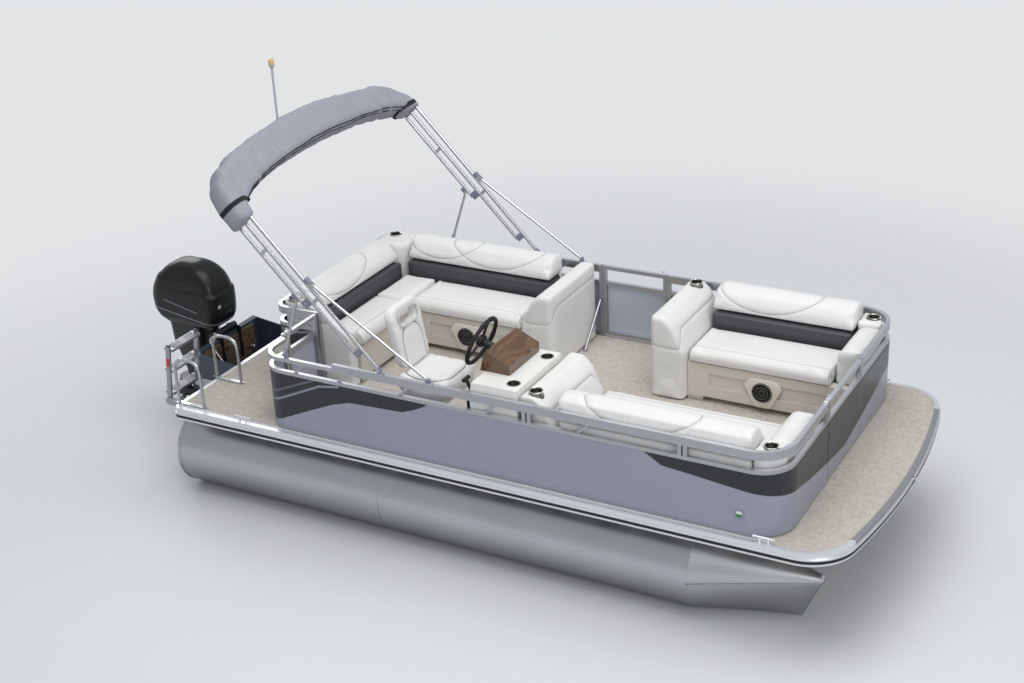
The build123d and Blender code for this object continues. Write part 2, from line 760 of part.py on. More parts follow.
def stern_hinges():
    """The fixed halves of the stern gate's hinges, on the lounge fence's end post."""
    axis_a = STERN_GATE[1] + GATE_GAP / 2
    half = HINGE_LEN / 2
    pieces = []
    for height in HINGE_H:
        for low in (height - half - HINGE_GAP, height + HINGE_LEN + HINGE_GAP):
            pieces.append(hinge_piece(stern_wall, axis_a, LEAF_W, low, low + half))
    return pieces


def fence_skin(plan, keep):
    """The painted sheet on the outside of a fence section."""
    return layer(plan, 0, SKIN_T, RAIL_H / 2, SKIN_TOP) & keep


def gate_brace():
    """The stay from the fence post beside the port gate to a pad on the deck."""
    x = aft(PORT_GATE_AFT[1] + GATE_GAP + POST_W / 2)
    head = (x, FENCE_HALF - RAIL_IN - 0.75 * BRACE_D, up(BRACE_HEAD_H))
    foot_y = FENCE_HALF - BRACE_FOOT_IN
    foot = (x, foot_y, up(BRACE_D / 2))
    pad = Pos(x, foot_y, up(0)) * Cylinder(
        BRACE_D, BRACE_D, align=(Align.CENTER, Align.CENTER, Align.MIN)
    )
    wall = FENCE_HALF - RAIL_IN
    boss = block(x - BRACE_BOSS / 2, x + BRACE_BOSS / 2, wall - BRACE_D, wall,
                 up(BRACE_HEAD_H - BRACE_D), up(BRACE_HEAD_H + BRACE_D))
    return joined([rod(foot, head, BRACE_D / 2), pad, boss])


# Seating along the sides; Y is measured for the port side
SIDE_IN = FENCE_HALF - RAIL_IN - FURNITURE_GAP
AFT_IN = LOUNGE_AFT - RAIL_IN - FURNITURE_GAP
BENCH_FRONT = SIDE_IN - BENCH_DEPTH
BASE_TOP = SEAT_TOP - SEAT_T
CONSOLE_PORT = CONSOLE_W - SIDE_IN
WHEEL_Y = WHEEL_IN - SIDE_IN
CHAIR_Y = CHAIR_IN - SIDE_IN
THROTTLE_Y = THROTTLE_IN - SIDE_IN
DASH_Y = (DASH_SIDE[0] - SIDE_IN, DASH_SIDE[1] - SIDE_IN)


def side_back(x0, x1):
    """A backrest on the port side, leaning outboard, run from x0 to x1."""
    section = [
        (SIDE_IN - BACK_FOOT, up(BACK_BOTTOM)),
        (SIDE_IN, up(BACK_BOTTOM)),
        (SIDE_IN, up(BACK_TOP - BACK_SHOULDER)),
        (SIDE_IN - BACK_CROWN, up(BACK_TOP)),
        (SIDE_IN - BACK_HEAD, up(BACK_TOP - BACK_SHOULDER)),
    ]
    rounds = {0: BACK_FOOT_R, 2: BACK_REAR_R, 4: BACK_HEAD_R}
    return prism_x(section, x0, x1, rounds)


def side_band(x0, x1):
    """The panel under a side backrest."""
    low, high = up(BASE_TOP), up(BACK_BOTTOM - SEAT_REST)
    return block(x0, x1, SIDE_IN - BACK_FOOT + BAND_IN, SIDE_IN, low, high)


def side_seat(x0, x1):
    """A seat cushion with a rolled front edge, on the port side."""
    front = BENCH_FRONT - ROLL_OUT
    rear = SIDE_IN - BACK_FOOT - LID_GAP
    low, high = up(BASE_TOP + SEAT_REST), up(SEAT_TOP)
    section = [(front, low), (rear, low), (rear, high), (front, high)]
    return prism_x(section, x0, x1, {0: ROLL_BOTTOM_R, 3: ROLL_R})


def side_base(x0, x1):
    """A moulded seat base, open on top, with a toe space and a sunk front panel."""
    outer = block(x0, x1, BENCH_FRONT, SIDE_IN, up(0), up(BASE_TOP))
    rear = SIDE_IN - BACK_FOOT + BAND_IN
    inner = block(x0 + BASE_WALL, x1 - BASE_WALL, BENCH_FRONT + TOE_D + BASE_WALL, rear,
                  up(BASE_WALL), up(BASE_TOP + 1))
    toe = block(x0 + TOE_END, x1 - TOE_END, BENCH_FRONT - 1, BENCH_FRONT + TOE_D, up(-1), up(TOE_H))
    sunk = block(x0 + PANEL_END, x1 - PANEL_END, BENCH_FRONT - 1, BENCH_FRONT + PANEL_D,
                 up(PANEL_H[0]), up(PANEL_H[1]))
    return outer - inner - toe - sunk


def bench_arm(x_back, direction):
    """An arm module on the port side; direction points from its upright back to the seat."""
    reach = direction * ARM_W
    section = [
        (x_back, up(0)),
        (x_back + reach, up(0)),
        (x_back + reach, up(ARM_LOW)),
        (x_back + reach - direction * ARM_SLOPE[0], up(ARM_SLOPE[1])),
        (x_back + reach - direction * ARM_CROWN, up(ARM_TOP)),
        (x_back, up(ARM_TOP)),
    ]
    rounds = {2: ARM_SOFT_R, 3: ARM_SOFT_R, 4: ARM_SOFT_R, 5: BACK_REAR_R}
    arm = prism_y(section, BENCH_FRONT - ARM_OUT, SIDE_IN, rounds)
    return fillet(arm.faces().sort_by(Axis.Y)[0].edges().sort_by(Axis.Z)[1:], ARM_FRONT_R)


# Cup holders: aft of the front fence, Y, height of the rim above the deck
BOW_IN = RAIL_IN + FURNITURE_GAP
CUPS = (
    (AFT_IN - CUP_SIDE, SIDE_IN - CUP_SIDE, ARM_TOP),
    (AFT_IN - CUP_SIDE, LOUNGE_STBD + BOW_IN + END_ARM_W / 2, ARM_TOP),
    (ARM_PORT_AFT - ARM_CUP_IN, SIDE_IN - CUP_SIDE, ARM_TOP),
    (ARM_STBD_AFT - ARM_CUP_IN, CUP_SIDE - SIDE_IN, ARM_TOP),
    (BOW_IN + CUP_SIDE, SIDE_IN - CUP_SIDE, CORNER_TOP),
    (BOW_IN + CUP_SIDE, CUP_SIDE - SIDE_IN, CORNER_TOP),
)


def cup_hole(place):
    """The round hole that takes a cup holder."""
    distance, y, height = place
    hole = Cylinder(CUP_R + CUP_FIT, CUP_DEPTH + 1, align=(Align.CENTER, Align.CENTER, Align.MAX))
    return Pos(aft(distance), y, up(height) + 1) * hole


def cup_holder(place):
    """A pressed steel cup with a flat rim."""
    distance, y, height = place
    top = (Align.CENTER, Align.CENTER, Align.MAX)
    low = (Align.CENTER, Align.CENTER, Align.MIN)
    cup = Cylinder(CUP_R, CUP_DEPTH - CUP_FIT, align=top)
    cup -= Pos(0, 0, CUP_WALL) * Cylinder(CUP_R - CUP_WALL, CUP_DEPTH - CUP_FIT, align=top)
    rim = Cylinder(CUP_R + CUP_LIP, CUP_WALL, align=low) - Cylinder(CUP_R - CUP_WALL, CUP_WALL, align=low)
    return Pos(aft(distance), y, up(height)) * (cup + rim)


def with_holes(shape):
    """A padded piece with the holes of the cup holders that stand in it."""
    for place in CUPS:
        shape = shape - cup_hole(place)
    return shape


# Lounge
LOUNGE_END = LOUNGE_STBD + BOW_IN
LOUNGE_FORE = ARM_LOUNGE_AFT + ARM_W
LOUNGE_X = aft(AFT_IN)
LOUNGE_FRONT_X = LOUNGE_X + LOUNGE_DEPTH


def lounge_base():
    """The moulded L-shaped base; the port leg is open on top under its hinged seat."""
    x1 = aft(LOUNGE_FORE) - SOFT_GAP
    port = block(LOUNGE_X, x1, BENCH_FRONT, SIDE_IN, up(0), up(BASE_TOP))
    y0 = LOUNGE_END + END_ARM_W + SOFT_GAP
    rear = block(LOUNGE_X, LOUNGE_FRONT_X, y0, SIDE_IN, up(0), up(BASE_TOP))
    locker = block(LOUNGE_FRONT_X + BASE_WALL, x1 - BASE_WALL, BENCH_FRONT + TOE_D + BASE_WALL,
                   SIDE_IN - BACK_FOOT + BAND_IN, up(BASE_WALL), up(BASE_TOP + 1))
    toe_port = block(LOUNGE_FRONT_X + TOE_END, x1 - TOE_END, BENCH_FRONT - 1, BENCH_FRONT + TOE_D,
                     up(-1), up(TOE_H))
    toe_rear = block(LOUNGE_FRONT_X - TOE_D, LOUNGE_FRONT_X + 1, y0 + TOE_END, BENCH_FRONT - TOE_END,
                     up(-1), up(TOE_H))
    sunk = block(LOUNGE_FRONT_X + PANEL_END, x1 - PANEL_END, BENCH_FRONT - 1, BENCH_FRONT + PANEL_D,
                 up(PANEL_H[0]), up(PANEL_H[1]))
    inside = Pos(0, 0, up(0)) * extrude(lounge_face(BOW_IN), amount=BASE_TOP)
    return ((port + rear) & inside) - locker - toe_port - toe_rear - sunk


def lounge_seat_fixed():
    """The cushions of the aft leg and the corner."""
    rear = LOUNGE_X + BACK_FOOT + LID_GAP
    front = LOUNGE_FRONT_X + ROLL_OUT
    low, high = up(BASE_TOP + SEAT_REST), up(SEAT_TOP)
    y0 = LOUNGE_END + END_ARM_W + LID_GAP
    section = [(rear, low), (front, low), (front, high), (rear, high)]
    y1 = BENCH_FRONT - ROLL_OUT - LID_GAP
    rear_seat = prism_y(section, y0, y1, {1: ROLL_BOTTOM_R, 2: ROLL_R})
    corner = block(rear, LOUNGE_FRONT_X - LID_GAP, y1 + SOFT_GAP, SIDE_IN - BACK_FOOT - LID_GAP, low, high)
    return apart([rear_seat, corner])


def lounge_seat():
    """The hinged cushion of the lounge's port leg."""
    return side_seat(LOUNGE_FRONT_X, aft(LOUNGE_FORE) - LID_GAP)


def lounge_backs():
    """The lounge's two backrests."""
    port = side_back(LOUNGE_X + COLUMN + SOFT_GAP, aft(LOUNGE_FORE) - SOFT_GAP)
    section = [
        (LOUNGE_X + BACK_FOOT, up(BACK_BOTTOM)),
        (LOUNGE_X, up(BACK_BOTTOM)),
        (LOUNGE_X, up(BACK_TOP - BACK_SHOULDER)),
        (LOUNGE_X + BACK_CROWN, up(BACK_TOP)),
        (LOUNGE_X + BACK_HEAD, up(BACK_TOP - BACK_SHOULDER)),
    ]
    rounds = {0: BACK_FOOT_R, 2: BACK_REAR_R, 4: BACK_HEAD_R}
    y0 = LOUNGE_END + END_ARM_W + SOFT_GAP
    rear = prism_y(section, y0, SIDE_IN - COLUMN - SOFT_GAP, rounds)
    return apart([port, rear])


def lounge_bands():
    """The dark panels under the lounge's backrests."""
    port = side_band(LOUNGE_X + COLUMN + SOFT_GAP, aft(LOUNGE_FORE) - SOFT_GAP)
    y0 = LOUNGE_END + END_ARM_W + SOFT_GAP
    rear = block(LOUNGE_X, LOUNGE_X + BACK_FOOT - BAND_IN, y0, SIDE_IN - COLUMN - SOFT_GAP,
                 up(BASE_TOP), up(BACK_BOTTOM - SEAT_REST))
    return apart([port, rear])


def lounge_arms():
    """The forward arm, the starboard end and the corner column of the lounge."""
    fore = bench_arm(aft(ARM_LOUNGE_AFT), -1)
    section = [
        (LOUNGE_X, up(0)),
        (LOUNGE_FRONT_X, up(0)),
        (LOUNGE_FRONT_X, up(END_ARM_LOW)),
        (LOUNGE_X + END_ARM_REAR, up(ARM_TOP)),
        (LOUNGE_X, up(ARM_TOP)),
    ]
    end = prism_y(section, LOUNGE_END, LOUNGE_END + END_ARM_W, {2: ARM_SOFT_R, 3: ARM_SOFT_R, 4: BACK_REAR_R})
    inside = Pos(0, 0, up(0)) * extrude(lounge_face(BOW_IN), amount=ARM_TOP)
    x0, x1, y0, y1 = LOUNGE_X, LOUNGE_X + COLUMN, SIDE_IN - COLUMN, SIDE_IN
    corner = (x1, y1 - COLUMN + COLUMN_CUT)
    plan = Polyline((x0, y0), (x1 - COLUMN_CUT, y0), corner, (x1, y1), (x0, y1), close=True)
    column = Pos(0, 0, up(BASE_TOP)) * extrude(make_face(plan), amount=ARM_TOP - BASE_TOP)
    return apart([with_holes(fore), with_holes(end & inside), with_holes(column & inside)])


# Bow benches, drawn on the port side
BENCH_FORE = BOW_IN


def bench_inside():
    """The room inside the main fence."""
    return Pos(0, 0, up(0)) * extrude(fence_face(BOW_IN), amount=BACK_TOP)


def bench_base(arm_back):
    """A bow bench's base from its arm to the front fence."""
    x0, x1 = aft(arm_back - ARM_W) + SOFT_GAP, aft(BENCH_FORE)
    return side_base(x0, x1) & bench_inside()


def bench_seat(arm_back):
    """A bow bench's hinged cushion."""
    return side_seat(aft(arm_back - ARM_W) + LID_GAP, aft(BENCH_FORE + BOLSTER_W + LID_GAP))


def bench_back(arm_back):
    """A bow bench's backrest."""
    return side_back(aft(arm_back - ARM_W) + SOFT_GAP, aft(BENCH_FORE + BOLSTER_W + SOFT_GAP))


def bench_band(arm_back):
    """The dark panel under a bow bench's backrest."""
    return side_band(aft(arm_back - ARM_W) + SOFT_GAP, aft(BENCH_FORE + BOLSTER_W + SOFT_GAP))


def bench_ends(arm_back, side):
    """A bow bench's arm, the bolster at the front fence and the corner that holds a cup."""
    x0, x1 = aft(BENCH_FORE + BOLSTER_W), aft(BENCH_FORE)
    split = SIDE_IN - COLUMN + COLUMN_CUT
    low = up(BASE_TOP)
    section = [(x0, low), (x1, low), (x1, up(BOLSTER_TOP)), (x0, up(BOLSTER_TOP))]
    bolster = prism_y(section, BENCH_FRONT + BOLSTER_IN, split - SOFT_GAP, {2: BACK_REAR_R, 3: BOLSTER_R})
    corner = block(x0, x1, split, SIDE_IN, low, up(CORNER_TOP)) & bench_inside()
    pieces = [bench_arm(aft(arm_back), 1), bolster, corner]
    if side < 0:
        pieces = [mirror(piece, about=Plane.XZ) for piece in pieces]
    return apart([with_holes(piece) for piece in pieces])


# Speakers


def speaker(x):
    """A round speaker in a three-cornered bezel on a bench front."""
    front = Plane(origin=(x, BENCH_FRONT, up(SPEAKER_H)), x_dir=(1, 0, 0), z_dir=(0, -1, 0))
    turns = (math.pi / 6, 5 * math.pi / 6, -math.pi / 2)
    corners = [(BEZEL * math.cos(turn), BEZEL * math.sin(turn)) for turn in turns]
    shield = fillet(make_face(Polyline(*corners, close=True)).vertices(), BEZEL_R)
    bezel = extrude(front * shield, amount=BEZEL_T)
    ring = front * Cylinder(SPEAKER_R, SPEAKER_T, align=(Align.CENTER, Align.CENTER, Align.MIN))
    return bezel + ring


# Helm: the console's outline in X (aft of the front fence) and height
CONSOLE_FORE = ARM_STBD_AFT + SOFT_GAP


def console():
    """The helm console: a moulded pedestal with a stepped top."""
    section = [
        (aft(CONSOLE_BACK), up(0)),
        (aft(CONSOLE_FORE), up(0)),
        (aft(CONSOLE_FORE), up(CONSOLE_DECK)),
        (aft(DASH_AFT[1] - CONSOLE_R), up(CONSOLE_DECK)),
        (aft(CONSOLE_BACK), up(CONSOLE_KNEE)),
    ]
    body = prism_y(section, -SIDE_IN, CONSOLE_PORT, {4: CONSOLE_R})
    body = fillet(body.faces().sort_by(Axis.Y)[-1].edges().sort_by(Axis.Z)[1:], CONSOLE_R / 2)
    for place in CONSOLE_CUPS:
        body = body - cup_hole(place)
    return body


CONSOLE_CUPS = (
    (CONSOLE_FORE + CONSOLE_CUP_IN[0], CUP_SIDE - SIDE_IN, CONSOLE_DECK),
    (CONSOLE_FORE + CONSOLE_CUP_IN[1], CONSOLE_PORT - CUP_SIDE, CONSOLE_DECK),
)


def dash():
    """The instrument pod on the console, its face leaning with the wheel."""
    section = [
        (aft(DASH_AFT[1]), up(CONSOLE_DECK)),
        (aft(DASH_AFT[0]), up(CONSOLE_DECK)),
        (aft(DASH_AFT[0]), up(DASH_TOP[0])),
        (aft(DASH_AFT[1] - DASH_LIP), up(DASH_TOP[1])),
    ]
    pod = prism_y(section, DASH_Y[0], DASH_Y[1], {3: DASH_R})
    return pod


def wheel_axis():
    """The wheel's centre and the direction of its shaft towards the helm seat."""
    lean = math.radians(WHEEL_TILT)
    direction = Vector(-math.sin(lean), 0, math.cos(lean))
    root = Vector(aft(DASH_AFT[1] - DASH_LIP / 2), WHEEL_Y, up((CONSOLE_DECK + DASH_TOP[1]) / 2))
    return root + direction * WHEEL_OUT, direction


def steering_column():
    """The boss between the dash and the wheel."""
    centre, direction = wheel_axis()
    start = centre - direction * (WHEEL_OUT + DASH_LIP)
    end = centre - direction * (HUB_T / 2 + WHEEL_GAP)
    return rod(start, end, COLUMN_R) - dash()


def steering_wheel():
    """A rim on three spokes and a hub."""
    centre, direction = wheel_axis()
    plane = Plane(origin=centre, x_dir=(0, 1, 0), z_dir=direction)
    rim = revolve(Plane.XZ * Pos(WHEEL_R, 0) * RegularPolygon(WHEEL_RIM, BAR_SIDES), Axis.Z)
    hub = Cylinder(HUB_R, HUB_T)
    wheel = rim + hub
    for turn in (-90, 30, 150):
        spoke = Rot(0, 0, turn) * Pos(WHEEL_R / 2, 0, 0) * Box(WHEEL_R, SPOKE_W, SPOKE_T)
        wheel = wheel + spoke
    return plane * wheel


def throttle():
    """The shift and throttle box on the console's side with its lever."""
    x = aft(CONSOLE_BACK)
    half = THROTTLE_BOX[1] / 2
    low, high = (up(height) for height in THROTTLE_H)
    box = block(x - THROTTLE_BOX[0], x, THROTTLE_Y - half, THROTTLE_Y + half, low, high)
    foot = (x - THROTTLE_BOX[0] / 2, THROTTLE_Y, up(THROTTLE_H[1] - LEVER_R))
    head = (x - LEVER_OUT, THROTTLE_Y, up(LEVER_TOP))
    grip = rod((head[0], THROTTLE_Y - half, head[2]), (head[0], THROTTLE_Y + half, head[2]), GRIP_R)
    return joined([box, rod(foot, head, LEVER_R), grip])


# Helm chair


def chair_pedestal():
    """A floor plate and post for the helm chair."""
    low = (Align.CENTER, Align.CENTER, Align.MIN)
    plate = Cylinder(PEDESTAL_R, PEDESTAL_T, align=low)
    post = Cylinder(POST_R, CHAIR_PAN_H - SWIVEL_GAP, align=low)
    return Pos(aft(CHAIR_AFT), CHAIR_Y, up(0)) * (plate + post)


def chair_seat():
    """The chair's pan and cushion."""
    plan = RectangleRounded(CHAIR_D, CHAIR_W, CHAIR_CORNER)
    inset = 2 * CHAIR_PAN_IN
    pan_plan = RectangleRounded(CHAIR_D - inset, CHAIR_W - inset, CHAIR_CORNER - CHAIR_PAN_IN)
    pan = extrude(pan_plan, amount=CHAIR_PAN_T)
    cushion = Pos(0, 0, CHAIR_PAN_T) * extrude(plan, amount=CHAIR_CUSHION)
    cushion = chamfer(cushion.faces().sort_by(Axis.Z)[-1].edges(), CHAIR_EDGE)
    return Pos(aft(CHAIR_AFT), CHAIR_Y, up(CHAIR_PAN_H)) * (pan + cushion)


def chair_back():
    """The chair's padded back with a grip slot near its top."""
    foot = CHAIR_PAN_H + CHAIR_PAN_T + CHAIR_CUSHION + CHAIR_SEAM
    x = -CHAIR_D / 2 + CHAIR_BACK_T
    section = [
        (x, foot),
        (x - CHAIR_BACK_T, foot),
        (x - CHAIR_BACK_T - CHAIR_BACK_LEAN, CHAIR_BACK_H),
        (x - CHAIR_BACK_LEAN, CHAIR_BACK_H),
    ]
    back = prism_y(section, -CHAIR_BACK_W / 2, CHAIR_BACK_W / 2, {2: CHAIR_BACK_R, 3: CHAIR_BACK_R})
    slot = Pos(x - CHAIR_BACK_LEAN, 0, CHAIR_BACK_H - CHAIR_SLOT[1] * 1.4) * Box(CHAIR_D, *CHAIR_SLOT)
    shape = RectangleRounded(CHAIR_BACK_W, CHAIR_BACK_H - foot, CHAIR_BACK_CORNER)
    outline = extrude(Plane.YZ * Pos(0, (foot + CHAIR_BACK_H) / 2) * shape, amount=2 * CHAIR_D, both=True)
    back = (back & outline) - slot
    return Pos(aft(CHAIR_AFT), CHAIR_Y, up(0)) * back


# Bimini, stowed: bows folded together in a canvas boot, leaning aft on two stays a side

LEAN = math.radians(BIMINI_LEAN)
BIMINI_Y = FENCE_HALF - SKIN_T - RAIL_W / 2
PIN_Z = up(TOP_RAIL + BIMINI_PIN_H)


def bimini_point(along, across, y=0.0):
    """A place by distance along the main leg and across it, forward and up."""
    x = aft(BIMINI_FOOT_AFT) - along * math.cos(LEAN) + across * math.sin(LEAN)
    z = PIN_Z + along * math.sin(LEAN) + across * math.cos(LEAN)
    return x, y, z


def pivot_boss(point):
    """A pivot's inner boss, its axis along Y."""
    x, y, z = point
    return rod((x, y - BOSS_L / 2, z), (x, y + BOSS_L / 2, z), BOSS_R)


def fork(point, target):
    """Two cheeks about a pivot, joined by a yoke towards a target point."""
    x, y, z = point
    way = (Vector(*target) - Vector(*point)).normalized()
    pieces = []
    for side in (-1, 1):
        inner = y + side * (BOSS_L / 2 + CHEEK_GAP)
        outer = inner + side * CHEEK_T
        pieces.append(rod((x, inner, z), (x, outer, z), BOSS_R))
        mid = (inner + outer) / 2
        end = Vector(x, mid, z) + way * (2 * BOSS_R)
        pieces.append(bar((x, mid, z), tuple(end), 2 * STAY_R, CHEEK_T))
    start = Vector(*point) + way * (BOSS_R + FORK_CLEAR)
    end = Vector(*point) + way * (2.5 * BOSS_R)
    pieces.append(bar(tuple(start), tuple(end), 2 * STAY_R, BOSS_L + 2 * (CHEEK_T + CHEEK_GAP)))
    return joined(pieces)


def stay(point, target):
    """A round stay with a fork on its pivot and a rounded eye short of its target."""
    way = (Vector(*target) - Vector(*point)).normalized()
    start = Vector(*point) + way * (2 * BOSS_R)
    end = Vector(*target) - way * (BOSS_R + PIN_CLEAR)
    return fork(point, target) + rod(tuple(start), tuple(end), STAY_R)


LEG_ENDS = [BOOT_LOW + end for end in BOOT_ENDS]
BRACE_LIFT = BIMINI_TUBE_R + BOSS_R
STRUT_DROP = BIMINI_PITCH * 2 + BIMINI_TUBE_R + BOSS_R


def bimini_legs():
    """The straight legs of the folded bows on both sides, with the pivots they carry."""
    sides = []
    for side, end in zip((-1, 1), LEG_ENDS):
        y = side * BIMINI_Y
        pieces = [fork(bimini_point(0, 0, y), bimini_point(end, 0, y))]
        for index, start in enumerate(LEG_STARTS):
            across = -index * BIMINI_PITCH
            low = max(start, 2 * BOSS_R)
            pieces.append(rod(bimini_point(low, across, y), bimini_point(end, across, y), BIMINI_TUBE_R))
        for index, start in enumerate(LEG_STARTS[1:]):
            across = -(index + 1) * BIMINI_PITCH
            for along in (start + LINK_AT[0], start + LINK_AT[1]):
                spot = (bimini_point(along, across, y), bimini_point(along, across + BIMINI_PITCH, y))
                pieces.append(bar(*spot, LINK_W, LINK_T))
        pieces.append(pivot_boss(bimini_point(BRACE_AT, BRACE_LIFT, y)))
        brace_root = bimini_point(BRACE_AT, 0, y)
        pieces.append(bar(brace_root, bimini_point(BRACE_AT, BRACE_LIFT, y), 2 * BOSS_R, BOSS_L))
        pieces.append(pivot_boss(bimini_point(STRUT_AT, -STRUT_DROP, y)))
        strut_root = bimini_point(STRUT_AT, -2 * BIMINI_PITCH, y)
        pieces.append(bar(strut_root, bimini_point(STRUT_AT, -STRUT_DROP, y), 2 * BOSS_R, BOSS_L))
        sides.append(joined(pieces))
    return apart(sides)


def rail_pin(distance, y):
    """A place on the rail's pivots."""
    return aft(distance), y, PIN_Z


def rail_foot(distance, y):
    """A pivot boss on a short bracket that stands on the top rail."""
    x = aft(distance)
    base = TOP_RAIL - RAIL_H if distance > RAIL_STEP_AFT + RAIL_STEP_LAP and y < 0 else TOP_RAIL
    web = block(x - BOSS_R, x + BOSS_R, y - BOSS_L / 2, y + BOSS_L / 2, up(base), PIN_Z)
    return web + pivot_boss((x, y, PIN_Z))


def bimini_feet():
    """The brackets on both rails that the bimini and its stays stand on."""
    places = (BIMINI_FOOT_AFT, BRACE_FOOT_AFT, STRUT_FOOT_AFT)
    return apart([rail_foot(place, side * BIMINI_Y) for place in places for side in (-1, 1)])


def bimini_braces():
    """The forward stays from the main legs down to the rails."""
    pair = []
    for side in (-1, 1):
        y = side * BIMINI_Y
        pair.append(stay(bimini_point(BRACE_AT, BRACE_LIFT, y), rail_pin(BRACE_FOOT_AFT, y)))
    return apart(pair)


def bimini_struts():
    """The rear stays from the rails up to the folded bows."""
    pair = []
    for side in (-1, 1):
        y = side * BIMINI_Y
        pair.append(stay(rail_pin(STRUT_FOOT_AFT, y), bimini_point(STRUT_AT, -STRUT_DROP, y)))
    return apart(pair)


def arc_points(start, through, end, count):
    """Even steps along an arc, its end left out."""
    arc = ThreePointArc(start, through, end)
    return [((arc @ (step / count)).X, (arc @ (step / count)).Y) for step in range(count)]


def boot_outline():
    """The boot's outline in the plane of the bows, as Y and distance along the legs, in two runs."""
    outer = BIMINI_Y + BOOT_SLEEVE / 2
    inner = BIMINI_Y - BOOT_SLEEVE / 2
    shoulder = BOOT_LOW + BOOT_SHOULDER
    knee = BOOT_LOW + BOOT_KNEE
    crown = BOOT_LOW + BOOT_CROWN
    wrist = shoulder - BOOT_TURN[1]
    crook = knee - BOOT_TURN[3]
    over = outer - BOOT_TURN[0]
    below = inner - BOOT_TURN[2]
    turn = (outer - BOOT_TURN[0] / 4, shoulder - BOOT_TURN[1] / 3)
    bend = (inner - BOOT_TURN[2] / 4, knee - BOOT_TURN[3] / 3)
    top = [
        (-outer, LEG_ENDS[0]),
        *arc_points((-outer, wrist), (-turn[0], turn[1]), (-over, shoulder), TURN_STEPS),
        *arc_points((-over, shoulder), (0, crown), (over, shoulder), CROWN_STEPS),
        *arc_points((over, shoulder), turn, (outer, wrist), TURN_STEPS),
        (outer, wrist),
        (outer, LEG_ENDS[1]),
    ]
    under = [
        (inner, LEG_ENDS[1]),
        *arc_points((inner, crook), bend, (below, knee), TURN_STEPS),
        *arc_points((below, knee), (0, crown - BOOT_DEPTH), (-below, knee), CROWN_STEPS),
        *arc_points((-below, knee), (-bend[0], bend[1]), (-inner, crook), TURN_STEPS),
        (-inner, crook),
        (-inner, LEG_ENDS[0]),
    ]
    return top, under


def boot_layer(inset, height):
    """The boot's outline drawn in by an amount, but not at its two ends, as a face at a height."""
    top, under = boot_outline()
    points = [Vector(*point) for point in top + under]
    ends = (len(top) - 1, len(points) - 1)
    drawn = []
    for index, point in enumerate(points):
        came = (point - points[index - 1]).normalized()
        goes = (points[(index + 1) % len(points)] - point).normalized()
        left = Vector(-came.Y, came.X)
        right = Vector(-goes.Y, goes.X)
        if index in ends:
            drawn.append(point - left * inset)
        elif (index - 1) % len(points) in ends:
            drawn.append(point - right * inset)
        else:
            drawn.append(point - (left + right) * (inset / (1 + left.dot(right))))
    return Pos(0, 0, height) * make_face(Polyline(*drawn, close=True))


def bow_plane():
    """The plane of the folded bows: X to port, Y along the legs."""
    way = Vector(-math.cos(LEAN), 0, math.sin(LEAN))
    side = Vector(0, 1, 0)
    return Plane(origin=bimini_point(0, -BIMINI_PITCH), x_dir=side, z_dir=side.cross(way))


def bimini_boot():
    """The canvas boot: one soft-edged sleeve over all the folded bows."""
    half = BOOT_T / 2
    stack = ((BOOT_EDGE, -half), (0, BOOT_EDGE - half), (0, half - BOOT_EDGE), (BOOT_EDGE, half))
    return bow_plane() * loft([boot_layer(*layer) for layer in stack], ruled=True)


def light_pole():
    """The all-round light on a short mast that stands on the boot."""
    x, _, z = bimini_point(BOOT_LOW + BOOT_CROWN - BOOT_EDGE, -BIMINI_PITCH)
    top = up(POLE_TOP)
    mast = rod((x, POLE_Y, z), (x, POLE_Y, top - LAMP_H), POLE_R)
    lamp = rod((x, POLE_Y, top - LAMP_H), (x, POLE_Y, top), LAMP_R)
    return (mast + lamp) - bimini_boot()


# Stern: hand rails and boarding ladder


HOOP_Y = [inset - BEAM / 2 for inset in HOOP_IN]
LADDER_Y = [inset - BEAM / 2 for inset in LADDER_IN]


def hand_rail(y):
    """A hoop on a flat foot bar, running fore and aft."""
    x0, x1 = STERN_X + HOOP_AFT[1], STERN_X + HOOP_AFT[0]
    low, high = up(LIP_T + HOOP_BASE[1] / 2), up(HOOP_H)
    points = [(x0, y, low), (x0, y, high), (x1, y, high), (x1, y, low)]
    hoop = swept(points, HOOP_R, RegularPolygon(HOOP_TUBE_R, BAR_SIDES))
    foot = block(x0 - HOOP_BASE[0] / 2, x1 + HOOP_BASE[0] / 2, y - HOOP_BASE[0] / 2, y + HOOP_BASE[0] / 2,
                 up(LIP_T), up(LIP_T + HOOP_BASE[1]))
    pad = block(STERN_X + RUB_DEPTH + TRIM_LIP, x1 + HOOP_BASE[0] / 2, y - HOOP_BASE[0] / 2,
                y + HOOP_BASE[0] / 2, up(0), up(LIP_T))
    return joined([hoop, foot, pad])


def ladder_point(along, y):
    """A place along the folded ladder from its hinge."""
    lean = math.radians(LADDER_LEAN)
    x = STERN_X - LADDER_HINGE_AFT + along * math.sin(lean)
    return x, y, up(LADDER_HINGE_H) + along * math.cos(lean)


def ladder():
    """Two stringers and their treads, folded up over the stern."""
    pieces = []
    for y in LADDER_Y:
        pieces.append(bar(ladder_point(0, y), ladder_point(LADDER_LENGTH, y), STRINGER[0], STRINGER[1]))
        x, _, z = ladder_point(0, y)
        half = STRINGER[1] / 2
        pieces.append(rod((x, y - half, z), (x, y + half, z), STRINGER[0] / 2))
    middle = (LADDER_Y[0] + LADDER_Y[1]) / 2
    span = LADDER_Y[1] - LADDER_Y[0]
    for along in TREADS:
        start = ladder_point(along - TREAD[1] / 2, middle)
        end = ladder_point(along + TREAD[1] / 2, middle)
        pieces.append(bar(start, end, TREAD[0], span))
    return joined(pieces)


